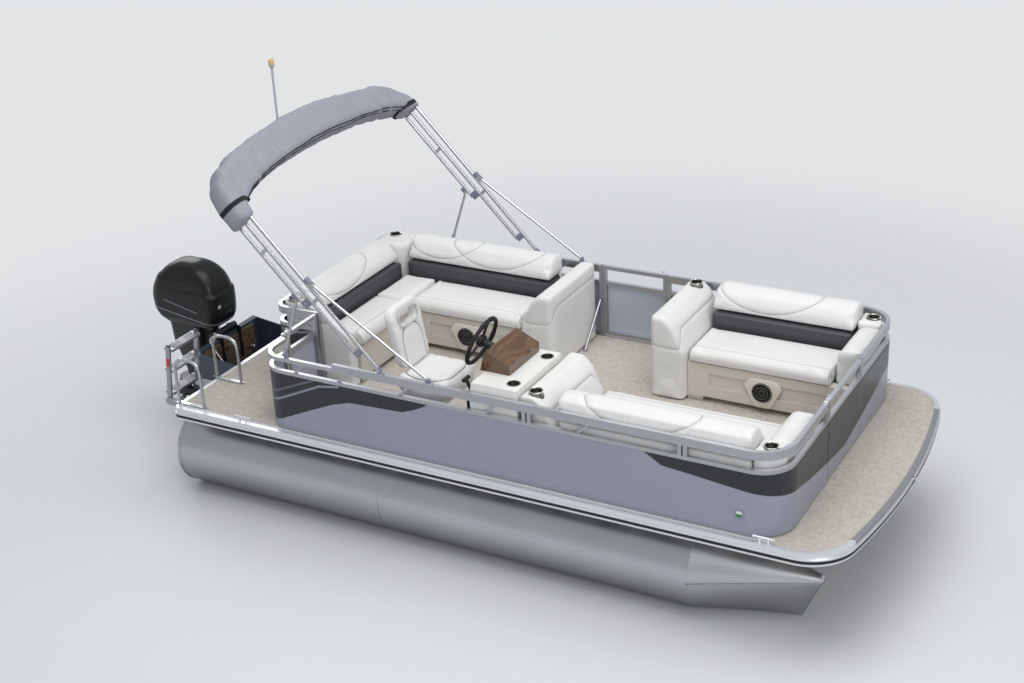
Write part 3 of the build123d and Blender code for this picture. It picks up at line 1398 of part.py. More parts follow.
def ladder_mounts():
    """The brackets on the stern edge that carry the ladder's hinge."""
    brackets = []
    for y, side in zip(LADDER_Y, (-1, 1)):
        y0 = y + side * (STRINGER[1] / 2 + SIDE_GAP)
        y1 = y0 + side * MOUNT_T
        x, _, z = ladder_point(0, y)
        plate = block(x, STERN_X, y0, y1, z - MOUNT_H / 2, z + MOUNT_H / 2)
        brackets.append(plate + rod((x, y0, z), (x, y1, z), MOUNT_H / 2))
    return apart(brackets)


# Outboard
TILT_X = TRANSOM_X + TILT_IN
KING_X = TRANSOM_X - KING_OUT
TILT_Z = TRANSOM_TOP + SWIVEL_R + ARM_LIFT


def behind(distance):
    """X of a place measured aft of the transom."""
    return TRANSOM_X - distance


def sections(table):
    """Rounded rectangles at the heights that a table gives."""
    faces = []
    for height, back, front, half, radius in table:
        centre = Pos(behind((back + front) / 2), 0, up(height))
        faces.append(centre * RectangleRounded(back - front, 2 * half, radius))
    return faces


def outboard_clamp():
    """The clamp brackets that hook over the transom, and the tilt tube between them."""
    x0, x1 = TRANSOM_X - CLAMP_REACH, TRANSOM_X + TRANSOM_T + CLAMP_REACH / 2
    pieces = []
    for side in (-1, 1):
        y0, y1 = side * CLAMP_Y[0], side * CLAMP_Y[1]
        plate = block(x0, x1, y0, y1, TRANSOM_TOP - CLAMP_DROP, TRANSOM_TOP)
        plate -= block(TRANSOM_X, TRANSOM_X + TRANSOM_T, y0, y1, TRANSOM_TOP - CLAMP_DROP, TRANSOM_TOP)
        plate += block(x0, x1, y0, y1, TRANSOM_TOP, TILT_Z)
        pieces.append(plate + rod((TILT_X, y0, TILT_Z), (TILT_X, y1, TILT_Z), SWIVEL_R))
    tube = rod((TILT_X, -CLAMP_Y[1], TILT_Z), (TILT_X, CLAMP_Y[1], TILT_Z), TILT_R)
    return joined([*pieces, tube])


def outboard_swivel():
    """The swivel bracket: a barrel on the tilt tube, an arm and the kingpin tube."""
    half = CLAMP_Y[0] - YOKE_GAP
    barrel = rod((TILT_X, -half, TILT_Z), (TILT_X, half, TILT_Z), SWIVEL_R)
    king = rod((KING_X, 0, up(KING_LOW)), (KING_X, 0, up(KING_HIGH)), KING_R)
    arm = block(KING_X, TILT_X, -half / 2, half / 2, TRANSOM_TOP + ARM_LIFT, up(KING_HIGH))
    web = block(KING_X, TRANSOM_X - ARM_LIFT, -half / 3, half / 3, up(KING_LOW), up(KING_HIGH))
    bore = rod((TILT_X, -half - 1, TILT_Z), (TILT_X, half + 1, TILT_Z), TILT_R + TILT_FIT)
    return joined([barrel, king, arm, web]) - bore


def outboard_cowl():
    """The powerhead under its domed cowl, one closed block."""
    return loft(sections(COWL), ruled=True)


def outboard_leg():
    """The drive leg: yokes, exhaust housing, plate, gear case and skeg."""
    leg = loft(sections(LEG), ruled=True)
    yokes = []
    for low in (KING_LOW - YOKE_GAP - YOKE_T, KING_HIGH + YOKE_GAP):
        ring = rod((KING_X, 0, up(low)), (KING_X, 0, up(low + YOKE_T)), KING_R)
        link = block(behind(YOKE_AFT), KING_X, -KING_R, KING_R, up(low), up(low + YOKE_T))
        yokes.append(ring + link)
    plate_low = PLATE_H - PLATE_T / 2
    plate_plan = Pos(behind(PLATE_AFT), 0, up(plate_low)) * RectangleRounded(PLATE_L, PLATE_W, PLATE_R)
    plate = extrude(plate_plan, amount=PLATE_T)
    neck_plan = Pos(behind(NECK_AFT), 0, up(SHAFT_H)) * RectangleRounded(NECK_L, NECK_W, NECK_R)
    neck = extrude(neck_plan, amount=PLATE_H - SHAFT_H)
    gear = rod((behind(GEAR_AFT[1]), 0, up(SHAFT_H)), (behind(GEAR_AFT[0]), 0, up(SHAFT_H)), GEAR_R)
    front = Plane(origin=(behind(GEAR_AFT[0]), 0, up(SHAFT_H)), z_dir=(1, 0, 0))
    nose = front * Cone(GEAR_R, GEAR_TIP_R, GEAR_R, align=(Align.CENTER, Align.CENTER, Align.MIN))
    skeg_section = [
        (behind(SKEG_ROOT[1]), up(SHAFT_H)),
        (behind(SKEG_ROOT[0]), up(SHAFT_H)),
        (behind(SKEG_TIP[0]), up(SKEG_H)),
        (behind(SKEG_TIP[1]), up(SKEG_H)),
    ]
    skeg = prism_y(skeg_section, -SKEG_T / 2, SKEG_T / 2, {2: SKEG_R})
    return joined([leg, *yokes, plate, neck, gear, nose, skeg])


def propeller():
    """A hub and three pitched blades."""
    x1 = behind(GEAR_AFT[1]) - PROP_GAP
    x0 = x1 - PROP_L
    hub = rod((x0, 0, up(SHAFT_H)), (x1, 0, up(SHAFT_H)), PROP_HUB_R)
    outline = Ellipse(BLADE_W / 2, (PROP_R - PROP_HUB_R / 2) / 2)
    blade = extrude(outline, amount=BLADE_T / 2, both=True)
    centre = Pos((x0 + x1) / 2, 0, up(SHAFT_H))
    prop = hub
    for turn in (0, 120, 240):
        lift = Pos(0, 0, (PROP_R + PROP_HUB_R / 2) / 2)
        upright = lift * Rot(0, 0, BLADE_PITCH) * Rot(90, 0, 0) * blade
        prop = prop + centre * Rot(turn, 0, 0) * upright
    return prop


# Deck hardware


def cleat(distance, y):
    """A horn cleat on two feet."""
    x, top = aft(distance), up(LIP_T + CLEAT_H)
    horn = rod((x - CLEAT_L / 2, y, top), (x + CLEAT_L / 2, y, top), CLEAT_R)
    feet = []
    for shift in (-CLEAT_L / 5, CLEAT_L / 5):
        feet.append(rod((x + shift, y, up(LIP_T)), (x + shift, y, top), CLEAT_R))
    return joined([horn, *feet])


def cleats():
    """The four mooring cleats on the deck trim."""
    y = BEAM / 2 - CLEAT_INSET
    return apart([cleat(distance, side * y) for distance in CLEAT_AFT for side in (-1, 1)])


def nav_light(side):
    """A round side light on the fence skin."""
    x, y, z = aft(NAV_AFT), side * FENCE_HALF, up(NAV_H)
    return rod((x, y, z), (x, y + side * NAV_T, z), NAV_R)


def bow_eye():
    """A towing ring in the bow trim."""
    z = (RUB_LOW + RUB_BAR + RUB_HIGH) / 2
    outline = Circle(EYE_R + EYE_BAR) - Circle(EYE_R - EYE_BAR)
    ring = extrude(Plane.XZ * outline, amount=EYE_BAR, both=True)
    return Pos(BOW_X - EYE_BAR, 0, z) * ring - rub_strip() - deck_trim()


NODES = {
    "pontoon_starboard": Pos(0, -TUBE_Y, 0) * pontoon(),
    "pontoon_port": Pos(0, TUBE_Y, 0) * pontoon(),
    "cross_members": cross_members(),
    "deck_board": deck_board(),
    "deck_trim": deck_trim(),
    "rub_strip": rub_strip(),
    "motor_pod": motor_pod(),
    "fence_rails_starboard": fence_starboard(),
    "fence_rails_port_bow": fence_port_bow(),
    "fence_rails_port_aft": fence_port_aft(),
    "fence_skin_starboard": fence_skin(fence_face, starboard_keep()),
    "fence_skin_port_bow": fence_skin(fence_face, port_bow_keep()),
    "fence_skin_port_aft": fence_skin(lounge_face, lounge_keep()),
    "gate_bow_frame": gate_frame(bow_wall, *BOW_GATE, 1),
    "gate_bow_skin": gate_skin(bow_wall, *BOW_GATE),
    "gate_port_frame": gate_frame(port_wall, *PORT_GATE_AFT, -1),
    "gate_port_skin": gate_skin(port_wall, *PORT_GATE_AFT),
    "gate_stern_frame": gate_frame(stern_wall, *STERN_GATE, 1),
    "gate_stern_skin": gate_skin(stern_wall, *STERN_GATE),
    "gate_brace": gate_brace(),
    "lounge_base": lounge_base(),
    "lounge_seat_fixed": lounge_seat_fixed(),
    "lounge_seat": lounge_seat(),
    "lounge_backs": lounge_backs(),
    "lounge_arms": lounge_arms(),
    "bench_port_base": bench_base(ARM_PORT_AFT),
    "bench_port_seat": bench_seat(ARM_PORT_AFT),
    "bench_port_back": bench_back(ARM_PORT_AFT),
    "bench_port_ends": bench_ends(ARM_PORT_AFT, 1),
    "bench_starboard_base": mirror(bench_base(ARM_STBD_AFT), about=Plane.XZ),
    "bench_starboard_seat": mirror(bench_seat(ARM_STBD_AFT), about=Plane.XZ),
    "bench_starboard_back": mirror(bench_back(ARM_STBD_AFT), about=Plane.XZ),
    "bench_starboard_ends": bench_ends(ARM_STBD_AFT, -1),
    "seat_bands": apart(
        [lounge_bands(), bench_band(ARM_PORT_AFT), mirror(bench_band(ARM_STBD_AFT), about=Plane.XZ)]
    ),
    "cup_holders": apart([cup_holder(place) for place in CUPS + CONSOLE_CUPS]),
    "speakers": apart(
        [
            speaker(aft(SPEAKER_AFT[0])),
            speaker(aft(SPEAKER_AFT[1])),
            mirror(speaker(aft(SPEAKER_AFT[1])), about=Plane.XZ),
        ]
    ),
    "console": console(),
    "dash": dash(),
    "steering_column": steering_column(),
    "steering_wheel": steering_wheel(),
    "throttle": throttle(),
    "chair_pedestal": chair_pedestal(),
    "chair_seat": chair_seat(),
    "chair_back": chair_back(),
    "bimini_legs": bimini_legs(),
    "bimini_feet": bimini_feet(),
    "bimini_braces": bimini_braces(),
    "bimini_struts": bimini_struts(),
    "bimini_boot": bimini_boot(),
    "light_pole": light_pole(),
    "hand_rails": apart([hand_rail(y) for y in HOOP_Y]),
    "ladder": ladder(),
    "ladder_mounts": ladder_mounts(),
    "outboard_clamp": outboard_clamp(),
    "outboard_swivel": outboard_swivel(),
    "outboard_cowl": outboard_cowl(),
    "outboard_leg": outboard_leg(),
    "propeller": propeller(),
    "deck_hardware": apart([cleats(), bow_eye()]),
    "nav_lights": apart([nav_light(side) for side in (-1, 1)]),
}

os.makedirs("parts", exist_ok=True)
for name, shape in NODES.items():
    export_step(shape, f"parts/{name}.step")
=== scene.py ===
import math
from collections import namedtuple

import bmesh
import bpy
import numpy as np
from mathutils import Matrix, Vector, noise


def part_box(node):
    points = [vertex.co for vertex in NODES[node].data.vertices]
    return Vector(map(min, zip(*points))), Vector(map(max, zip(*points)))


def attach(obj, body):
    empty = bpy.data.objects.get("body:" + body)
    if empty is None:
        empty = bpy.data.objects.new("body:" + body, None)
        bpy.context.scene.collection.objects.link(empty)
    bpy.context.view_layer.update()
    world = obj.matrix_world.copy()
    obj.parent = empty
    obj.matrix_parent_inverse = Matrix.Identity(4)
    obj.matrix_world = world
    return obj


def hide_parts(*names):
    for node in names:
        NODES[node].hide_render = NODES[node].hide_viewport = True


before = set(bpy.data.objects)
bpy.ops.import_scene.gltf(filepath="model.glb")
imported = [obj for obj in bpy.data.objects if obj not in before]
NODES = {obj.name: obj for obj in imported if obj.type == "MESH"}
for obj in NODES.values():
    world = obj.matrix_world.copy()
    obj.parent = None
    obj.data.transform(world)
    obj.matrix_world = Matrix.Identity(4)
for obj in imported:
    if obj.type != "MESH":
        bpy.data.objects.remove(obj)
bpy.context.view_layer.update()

bl_info = {
    "name": "Pontoon boat dressing",
    "version": (1, 0, 0),
    "blender": (4, 5, 0),
    "location": "View3D > Sidebar > Boat",
    "description": "Finishes, cushions, canvas and fittings of a pontoon boat on its CAD frame",
    "category": "Object",
}

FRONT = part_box("gate_bow_skin")[1].x
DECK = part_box("deck_board")[1].z
FENCE_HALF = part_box("gate_port_skin")[1].y


def at(aft, side, rise):
    """A place by its distance aft of the front fence, to port, and above the deck."""
    return Vector((FRONT - aft, side, DECK + rise))


def srgb(red, green, blue):
    """A colour as it is seen on a screen, 0 to 255, as linear values."""
    out = []
    for part in (red, green, blue):
        part = part / 255.0
        out.append(part / 12.92 if part <= 0.04045 else ((part + 0.055) / 1.055) ** 2.4)
    return tuple(out)


def colour_prop(name, description, value):
    return bpy.props.FloatVectorProperty(
        name=name, description=description, size=3, min=0.0, max=1.0, subtype="COLOR", default=srgb(*value))


def length_prop(name, description, value):
    return bpy.props.FloatProperty(
        name=name, description=description, default=value, min=0.0, unit="LENGTH", subtype="DISTANCE")


class BoatColours(bpy.types.PropertyGroup):
    """Colours of the boat's finishes."""

    vinyl: colour_prop("Seat vinyl", "Off-white vinyl of seats, backs and arms", (221, 220, 218))
    charcoal: colour_prop("Band vinyl", "Charcoal vinyl under the backrests", (66, 66, 71))
    fence: colour_prop("Fence paint", "Lavender-grey paint of the fence skin", (146, 148, 163))
    sweep: colour_prop("Fence sweep", "Dark navy sweeps on the fence skin", (24, 25, 34))
    base: colour_prop("Seat base", "Warm beige of the moulded seat bases", (208, 202, 192))
    deck: colour_prop("Deck vinyl", "Woven beige vinyl of the deck", (184, 178, 169))
    canvas: colour_prop("Boot canvas", "Grey canvas of the folded top's boot", (146, 147, 156))
    pod: colour_prop("Motor well", "Navy paint of the motor well", (56, 64, 82))
    wood: colour_prop("Dash wood", "Brown wood grain of the dash", (96, 66, 36))


class BoatSizes(bpy.types.PropertyGroup):
    """Sizes used for soft forms and the stage."""

    voxel: length_prop("Cushion mesh", "Edge length of the cushion meshes", 0.014)
    swell: length_prop("Cushion swell", "Most that the stuffing pushes a cover out", 0.012)
    shrink: length_prop("Cushion start", "How far a cushion starts inside its solid", 0.008)
    seam: length_prop("Seam width", "Width of the pull beside a sewn seam", 0.028)
    floor: length_prop("Floor", "Half width of the floor", 60.0)


class Shade:
    """A node socket that Python expressions are written on."""

    def __init__(self, tree, socket):
        self.tree = tree
        self.socket = socket

    def node(self, kind, settings=None, sockets=None, output=0):
        """Adds a node: its settings first, then the values or links of its sockets."""
        added = self.tree.nodes.new(kind)
        for name, value in (settings or {}).items():
            setattr(added, name, value)
        for name, value in (sockets or {}).items():
            if isinstance(value, Shade):
                self.tree.links.new(value.socket, added.inputs[name])
            else:
                added.inputs[name].default_value = value
        return Shade(self.tree, added.outputs[output])

    def math(self, operation, *others):
        sockets = {0: self}
        for index, other in enumerate(others):
            sockets[index + 1] = other
        return self.node("ShaderNodeMath", {"operation": operation}, sockets)

    def __add__(self, other):
        return self.math("ADD", other)

    __radd__ = __add__

    def __mul__(self, other):
        return self.math("MULTIPLY", other)

    __rmul__ = __mul__

    def __sub__(self, other):
        return self.math("SUBTRACT", other)

    def __rsub__(self, other):
        return self.node("ShaderNodeMath", {"operation": "SUBTRACT"}, {0: other, 1: self})

    def __truediv__(self, other):
        return self.math("DIVIDE", other)

    def __abs__(self):
        return self.math("ABSOLUTE")

    def __gt__(self, other):
        return self.math("GREATER_THAN", other)

    def __lt__(self, other):
        return self.math("LESS_THAN", other)

    def limit(self, low=0.0, high=1.0):
        return self.math("MAXIMUM", low).math("MINIMUM", high)

    def ramp(self, start, end):
        """0 below start, 1 above end, smooth between."""
        return self.node("ShaderNodeMapRange", {"interpolation_type": "SMOOTHSTEP", "clamp": True},
                         {"Value": self, "From Min": start, "From Max": end})

    def tint(self, first, second):
        """The first colour where this is 0, the second where it is 1."""
        def four(colour):
            return colour if isinstance(colour, Shade) else (*colour[:3], 1.0)
        sockets = {0: self, 6: four(first), 7: four(second)}
        return self.node("ShaderNodeMix", {"data_type": "RGBA"}, sockets, 2)

    def axis(self, letter):
        return self.node("ShaderNodeSeparateXYZ", None, {0: self}, "XYZ".index(letter))

    def stretched(self, x, y, z):
        return self.node("ShaderNodeVectorMath", {"operation": "MULTIPLY"}, {0: self, 1: (x, y, z)})

    def speckle(self, scale, detail=3.0, rough=0.5):
        return self.node("ShaderNodeTexNoise", None,
                         {"Vector": self, "Scale": scale, "Detail": detail, "Roughness": rough})

    def cells(self, scale):
        return self.node("ShaderNodeTexVoronoi", None, {"Vector": self, "Scale": scale})

    def about(self, share):
        """A noise moved to lie about 0 and scaled."""
        return (self - 0.5) * share

    def tones(self, colour, dark, light):
        """From a darker to a lighter tone of one colour."""
        return self.tint(shaded(colour, dark), shaded(colour, light))

    def line(self, points):
        """The height of a bent line through points, at this distance along it."""
        low, bottom = points[0][0], min(p[1] for p in points)
        span, rise = points[-1][0] - low, max(p[1] for p in points) - bottom
        height = self.node("ShaderNodeFloatCurve", None, {"Value": (self - low) / span})
        mapping = height.socket.node.mapping
        spots = mapping.curves[0].points
        for index, (along, up) in enumerate(points):
            place = ((along - low) / span, (up - bottom) / rise)
            inner = 0 < index < len(points) - 1
            spot = spots.new(*place) if inner else spots[0 if index == 0 else -1]
            spot.location = place
            spot.handle_type = "VECTOR"
        mapping.update()
        return height * rise + bottom


class Finish:
    """A material with its shader, and the place on the object as a vector."""

    def __init__(self, name, rough=0.5, metal=0.0, coat=0.0, specular=0.5):
        self.material = bpy.data.materials.new(name)
        self.material.use_nodes = True
        self.tree = self.material.node_tree
        self.shader = self.tree.nodes["Principled BSDF"]
        for socket, value in (("Roughness", rough), ("Metallic", metal), ("Coat Weight", coat),
                              ("Specular IOR Level", specular)):
            self.shader.inputs[socket].default_value = value
        start = Shade(self.tree, self.shader.outputs[0])
        self.place = start.node("ShaderNodeTexCoord", None, None, "Object")

    def feed(self, name, value):
        self.tree.links.new(value.socket, self.shader.inputs[name])

    def paint(self, value):
        self.feed("Base Color", value)

    def rough(self, value, low=0.1, high=0.9):
        self.feed("Roughness", value.limit(low, high))

    def raise_by(self, height, depth, strength):
        self.feed("Normal", self.place.node("ShaderNodeBump", None, {
            "Height": height, "Distance": depth, "Strength": strength}))


def shaded(colour, factor):
    return tuple(min(1.0, part * factor) for part in colour[:3])


def top_lit(place, low, high):
    """A mask for painted shade: 0 where a face looks sideways or down, 1 where it looks up."""
    return place.node("ShaderNodeTexCoord", None, None, "Normal").axis("Z").ramp(low, high)


def brushed_metal(name, colour, rough, run, spread=0.10, spots=0.0, sides=(0.68, -0.1, 0.8)):
    """Bare aluminium or steel with fine lines along run, slow blotches, and painted shade on faces that look
    sideways or down.
    """
    made = Finish(name, rough, 1.0)
    lines = made.place.stretched(*run).speckle(1.0, 2.0)
    blotch = made.place.speckle(2.3, 4.0)
    fine = made.place.speckle(46.0, 2.0)
    shade = (lines.about(0.5) + blotch.about(0.9) + 0.5).limit()
    # Painted shade: sides gives how dark the sideways and downward faces are painted, and the upward range of
    # normals it fades across
    side_shade, low, high = sides
    top = shade.tones(colour, 1.0 - spread, 1.0 + spread)
    shaded_flank = shade.tones(colour, side_shade * (1.0 - spread), side_shade * (1.0 + spread))
    # Painted shade: faces that look sideways or down take the darker tones
    made.paint(top_lit(made.place, low, high).tint(shaded_flank, top))
    made.rough(lines.about(0.10) + blotch.about(0.14) + fine.about(spots) + rough, 0.08)
    made.raise_by(lines, 0.00012, 0.2)
    return made.material


def moulded(name, colour, rough=0.45, grain=260.0, depth=0.0005, coat=0.0, spread=0.05):
    """Moulded plastic or paint: slow tone changes, a fine pebble and scuffs."""
    made = Finish(name, rough, 0.0, coat)
    slow = made.place.speckle(3.1, 4.0)
    pebble = made.place.speckle(grain, 2.0)
    scuff = made.place.stretched(9.0, 9.0, 24.0).speckle(2.0, 6.0, 0.65).ramp(0.60, 0.72)
    tone = slow.tones(colour, 1.0 - spread, 1.0 + spread)
    made.paint((scuff * 0.10).tint(tone, shaded(colour, 1.35)))
    made.rough(slow.about(0.14) + scuff * 0.08 + rough, 0.05, 0.95)
    made.raise_by(pebble, depth, 0.35)
    return made.material


SEAM_NAMES = ("seam_a", "seam_b", "seam_c")
BAND_REAR_SIDE = 1.12
BAND_REAR_AFT = 4.36


def seat_vinyl(name, colour, thread, behind=None):
    """Vinyl over foam: leather grain, sewn seams where the cover carries them, and soft creases, with painted
    shade in the creases, beside the seams and in the seam grooves.
    """
    made = Finish(name, 0.42, 0.0, 0.0, 0.42)
    place = made.place
    grain = place.cells(420.0)
    skin = place.speckle(130.0, 3.0)
    slow = place.speckle(2.6, 3.0)
    crease = place.stretched(7.0, 7.0, 11.0).speckle(1.0, 5.0, 0.6).ramp(0.52, 0.80)
    near = None
    for seam in SEAM_NAMES:
        reach = abs(place.node("ShaderNodeAttribute", {"attribute_name": seam}, None, "Fac"))
        near = reach if near is None else near.math("MINIMUM", reach)
    groove = 1.0 - near.ramp(0.0012, 0.0045)
    pull = 1.0 - near.ramp(0.002, 0.022)
    tone = slow.tones(colour, 0.965, 1.02)
    # Painted shade: the cover is darkened in its creases and beside its seams, where it sinks in
    tone = (crease * 0.22 + pull * 0.16).limit().tint(tone, shaded(colour, 0.80))
    if behind:
        aft = place.axis("X") < FRONT - BAND_REAR_AFT
        tone = (abs(place.axis("Y")) > BAND_REAR_SIDE).math("MAXIMUM", aft).tint(tone, behind)
    # The seam line takes the thread colour: dark piping on the helm chair, and on the white covers a grey that
    # is painted shade in the seam groove
    made.paint((groove * 0.75).tint(tone, thread))
    made.rough(skin.about(0.12) + slow.about(0.10) + groove * 0.2 + 0.42)
    made.raise_by(grain * 0.25 + skin * 0.35 - groove * 4.0 - pull * 1.2 - crease * 0.7, 0.0011, 0.7)
    return made.material


EDGE_STRIP = (0.60, 0.61, 0.63)


def woven(name, colour, pitch, depth, spread=0.22, rough=0.85, across="XY", slubs=(30.0, 160.0), edge=None):
    """A plain weave of two threads over and under, with slubs and slow fading."""
    made = Finish(name, rough, 0.0, 0.0, 0.25)
    place = made.place
    one, two = ((place.axis(letter) * (2.0 * math.pi / pitch)).math("SINE") for letter in across)
    thread = one * two
    long, short = slubs
    slub = place.stretched(long, short, short).speckle(1.0, 2.0)
    cross_slub = place.stretched(short, long, short).speckle(1.0, 2.0)
    slow = place.speckle(1.4, 4.0)
    mixed = thread * 0.22 + slub.about(0.9) + cross_slub.about(0.9) + slow.about(0.35) + 0.5
    tone = mixed.limit().tones(colour, 1.0 - spread, 1.0 + spread)
    if edge:
        strip = (abs(place.axis("Y")) > edge) * (place.axis("X") < FRONT - 0.10)
        tone = strip.tint(tone, EDGE_STRIP)
    made.paint(tone)
    made.rough(slow.about(0.1) + rough, 0.3, 1.0)
    made.raise_by(thread * 0.5 + slub + cross_slub, depth, 0.6)
    return made.material


SWEEP_LINE = (
    (-4.595, -0.098), (-3.982, 0.060), (-3.732, 0.175), (-3.442, 0.302), (-3.294, 0.346), (-3.108, 0.354),
    (-2.845, 0.364), (-2.757, 0.396), (-2.668, 0.438), (-2.595, 0.487), (-1.005, 0.487), (-0.922, 0.438),
    (-0.846, 0.391), (-0.633, 0.371), (-0.386, 0.343), (-0.217, 0.327), (0.275, 0.277), (0.482, 0.227),
    (0.825, 0.167), (0.985, 0.144), (1.255, 0.107))
STRIPE_LINE = ((-4.595, -0.050), (-4.034, 0.206), (-3.549, 0.428), (-3.425, 0.449), (-3.195, 0.492))
FAINT_LINE = ((-4.595, 0.043), (-3.982, 0.303), (-3.653, 0.442), (-3.195, 0.632))

STERN_SWEEP_AFT = 4.057
STRIPES_END = -3.375
FENCE_MIDDLE_AFT = 2.1


def fence_paint(name, colour, sweep):
    """Gloss fence paint with dark sweeps at stern and bow and two stripes in the stern one."""
    made = Finish(name, 0.32, 0.0, 0.12)
    place = made.place
    across, side = place.axis("X"), place.axis("Y")
    faces = place.node("ShaderNodeTexCoord", None, None, "Normal")
    outward = (across - (FRONT - FENCE_MIDDLE_AFT)) * faces.axis("X") * 0.4 + side * faces.axis("Y")
    up = place.axis("Z") - DECK
    girth = across - abs(side) + (FENCE_HALF - FRONT)
    dark = (up - girth.line(SWEEP_LINE)).ramp(-0.0025, 0.0025)
    dark = dark.math("MAXIMUM", across < FRONT - STERN_SWEEP_AFT)
    stripe = abs(up - girth.line(STRIPE_LINE)).ramp(0.0075, 0.0105)
    faint = abs(up - girth.line(FAINT_LINE)).ramp(0.006, 0.010)
    aft = girth < STRIPES_END
    slow = place.speckle(1.7, 4.0)
    peel = place.speckle(300.0, 2.0)
    deep = slow.tones(sweep, 0.88, 1.15)
    deep = ((1.0 - faint) * aft * 0.35).tint(deep, colour)
    deep = ((1.0 - stripe) * aft * 0.8).tint(deep, colour)
    made.paint((outward < -0.2).tint(dark.tint(slow.tones(colour, 0.96, 1.04), deep), shaded(colour, 1.25)))
    made.rough(slow.about(0.12) + peel.about(0.05) + 0.30)
    made.raise_by(peel, 0.0003, 0.2)
    return made.material


BOW_TRIM_AHEAD = 0.30
BOW_TRIM_HALF = 0.99


def edge_trim(name, colour):
    """Extruded deck edge: brushed along its length, with a dark insert along the bow between its corners, and
    painted shade on faces that look sideways or down.
    """
    made = Finish(name, 0.34, 1.0)
    place = made.place
    lines = place.stretched(4.0, 160.0, 160.0).speckle(1.0, 2.0)
    blotch = place.speckle(2.3, 4.0)
    bow = (place.axis("X") > FRONT + BOW_TRIM_AHEAD) * (abs(place.axis("Y")) < BOW_TRIM_HALF)
    bow = bow * (place.axis("Z") > DECK - 0.03)
    shade = (lines.about(0.5) + blotch.about(0.8) + 0.5).limit()
    # Painted shade: faces that look sideways or down take the darker tones
    tone = top_lit(place, -0.1, 0.8).tint(shade.tones(colour, 0.80, 0.90), shade.tones(colour, 0.93, 1.07))
    made.paint(bow.tint(tone, shaded(colour, 0.33)))
    made.feed("Metallic", 0.72 - bow * 0.32)
    made.rough(lines.about(0.10) + blotch.about(0.14) + bow * 0.12 + 0.34, 0.08)
    made.raise_by(lines, 0.00012, 0.2)
    return made.material


COWL_MIDDLE = 5.70
COWL_SLOPE = 0.22


def cowl_paint(name, colour, stripe):
    """Black gloss with orange peel, panel grooves and one plain stripe along each side."""
    made = Finish(name, 0.40, 0.0, 0.12, 0.35)
    place = made.place
    run = place.axis("X") - (FRONT - COWL_MIDDLE)
    slope = place.axis("Z") - DECK + run * COWL_SLOPE
    band = (1.0 - abs(slope - 0.275).ramp(0.004, 0.006)) * (abs(run) < 0.17) * (abs(place.axis("Y")) > 0.12)
    groove = 1.0 - abs(slope - 0.47 + run * run * 0.8).ramp(0.002, 0.006)
    slow = place.speckle(3.0, 4.0)
    peel = place.speckle(220.0, 2.0)
    made.paint(band.tint(slow.tones(colour, 0.85, 1.2), stripe))
    made.rough(slow.about(0.16) + peel.about(0.06) + 0.40)
    made.raise_by(peel * 0.15 - groove * 3.0, 0.0009, 0.5)
    return made.material


def frosted_panel(name, colour):
    """Frosted pale-blue gate panel with a faint cloud and fine texture."""
    made = Finish(name, 0.38, 0.0, 0.2)
    fine = made.place.speckle(350.0, 2.0)
    made.paint(made.place.speckle(2.4, 4.0).tones(colour, 0.90, 1.06))
    made.rough(fine.about(0.2) + 0.40)
    made.raise_by(fine, 0.0004, 0.3)
    return made.material


def wood_grain(name, colour):
    """Varnished wood with grain lines running across the boat, pores and a gloss coat."""
    made = Finish(name, 0.32, 0.0, 0.6)
    place = made.place
    wander = place.stretched(10.0, 2.6, 10.0).speckle(1.0, 4.0)
    rings = ((place.axis("X") * 46.0 + place.axis("Z") * 30.0 + wander * 9.0) * 3.2).math("SINE")
    pore = place.stretched(420.0, 30.0, 420.0).speckle(1.0, 2.0)
    mixed = (rings * 0.30 + pore.about(0.6) + wander * 0.5 + 0.22).limit()
    made.paint(mixed.tones(colour, 0.52, 1.35))
    made.rough(pore.about(0.25) + 0.34)
    made.raise_by(pore, 0.0003, 0.3)
    return made.material


CAP_FROM, CAP_FULL = 0.984, 0.988


def lamp_lens(name, port, starboard, cap):
    """Coloured lens glass with moulded ribs: one colour to port, another to starboard, under a bright cap."""
    made = Finish(name, 0.12, 0.0, 0.7)
    place = made.place
    rib = (place.axis("Z") * 2400.0).math("SINE")
    top = place.axis("Z").ramp(CAP_FROM, CAP_FULL)
    made.paint(top.tint(place.axis("Y").ramp(-0.3, 0.3).tint(starboard, port), cap))
    made.feed("Metallic", top * 0.9)
    made.rough(rib * 0.05 + 0.17, 0.05, 0.5)
    made.raise_by(rib * (1.0 - top), 0.0006, 0.4)
    return made.material


TOE_SHADE_FROM, TOE_SHADE_TO = 0.822, 0.874


def moulded_base(name, colour):
    """Beige moulded seat base, painted darker towards the deck as shade over its toe space, with drip marks and
    a fine pebble.
    """
    made = Finish(name, 0.55)
    place = made.place
    slow = place.speckle(2.2, 4.0)
    toe_shade = 1.0 - place.axis("Z").ramp(TOE_SHADE_FROM, TOE_SHADE_TO)
    drip = place.stretched(26.0, 26.0, 1.6).speckle(1.0, 4.0).ramp(0.55, 0.75)
    tone = (drip * 0.18).tint(slow.tones(colour, 0.95, 1.03), shaded(colour, 0.86))
    # Painted shade: the lowest band of the base is darkened where the toe space lies in shade
    made.paint((toe_shade * 0.65).tint(tone, shaded(colour, 0.32)))
    made.rough(slow.about(0.15) + 0.55, 0.2)
    made.raise_by(place.speckle(240.0, 2.0), 0.0006, 0.35)
    return made.material


PAINTS = {}


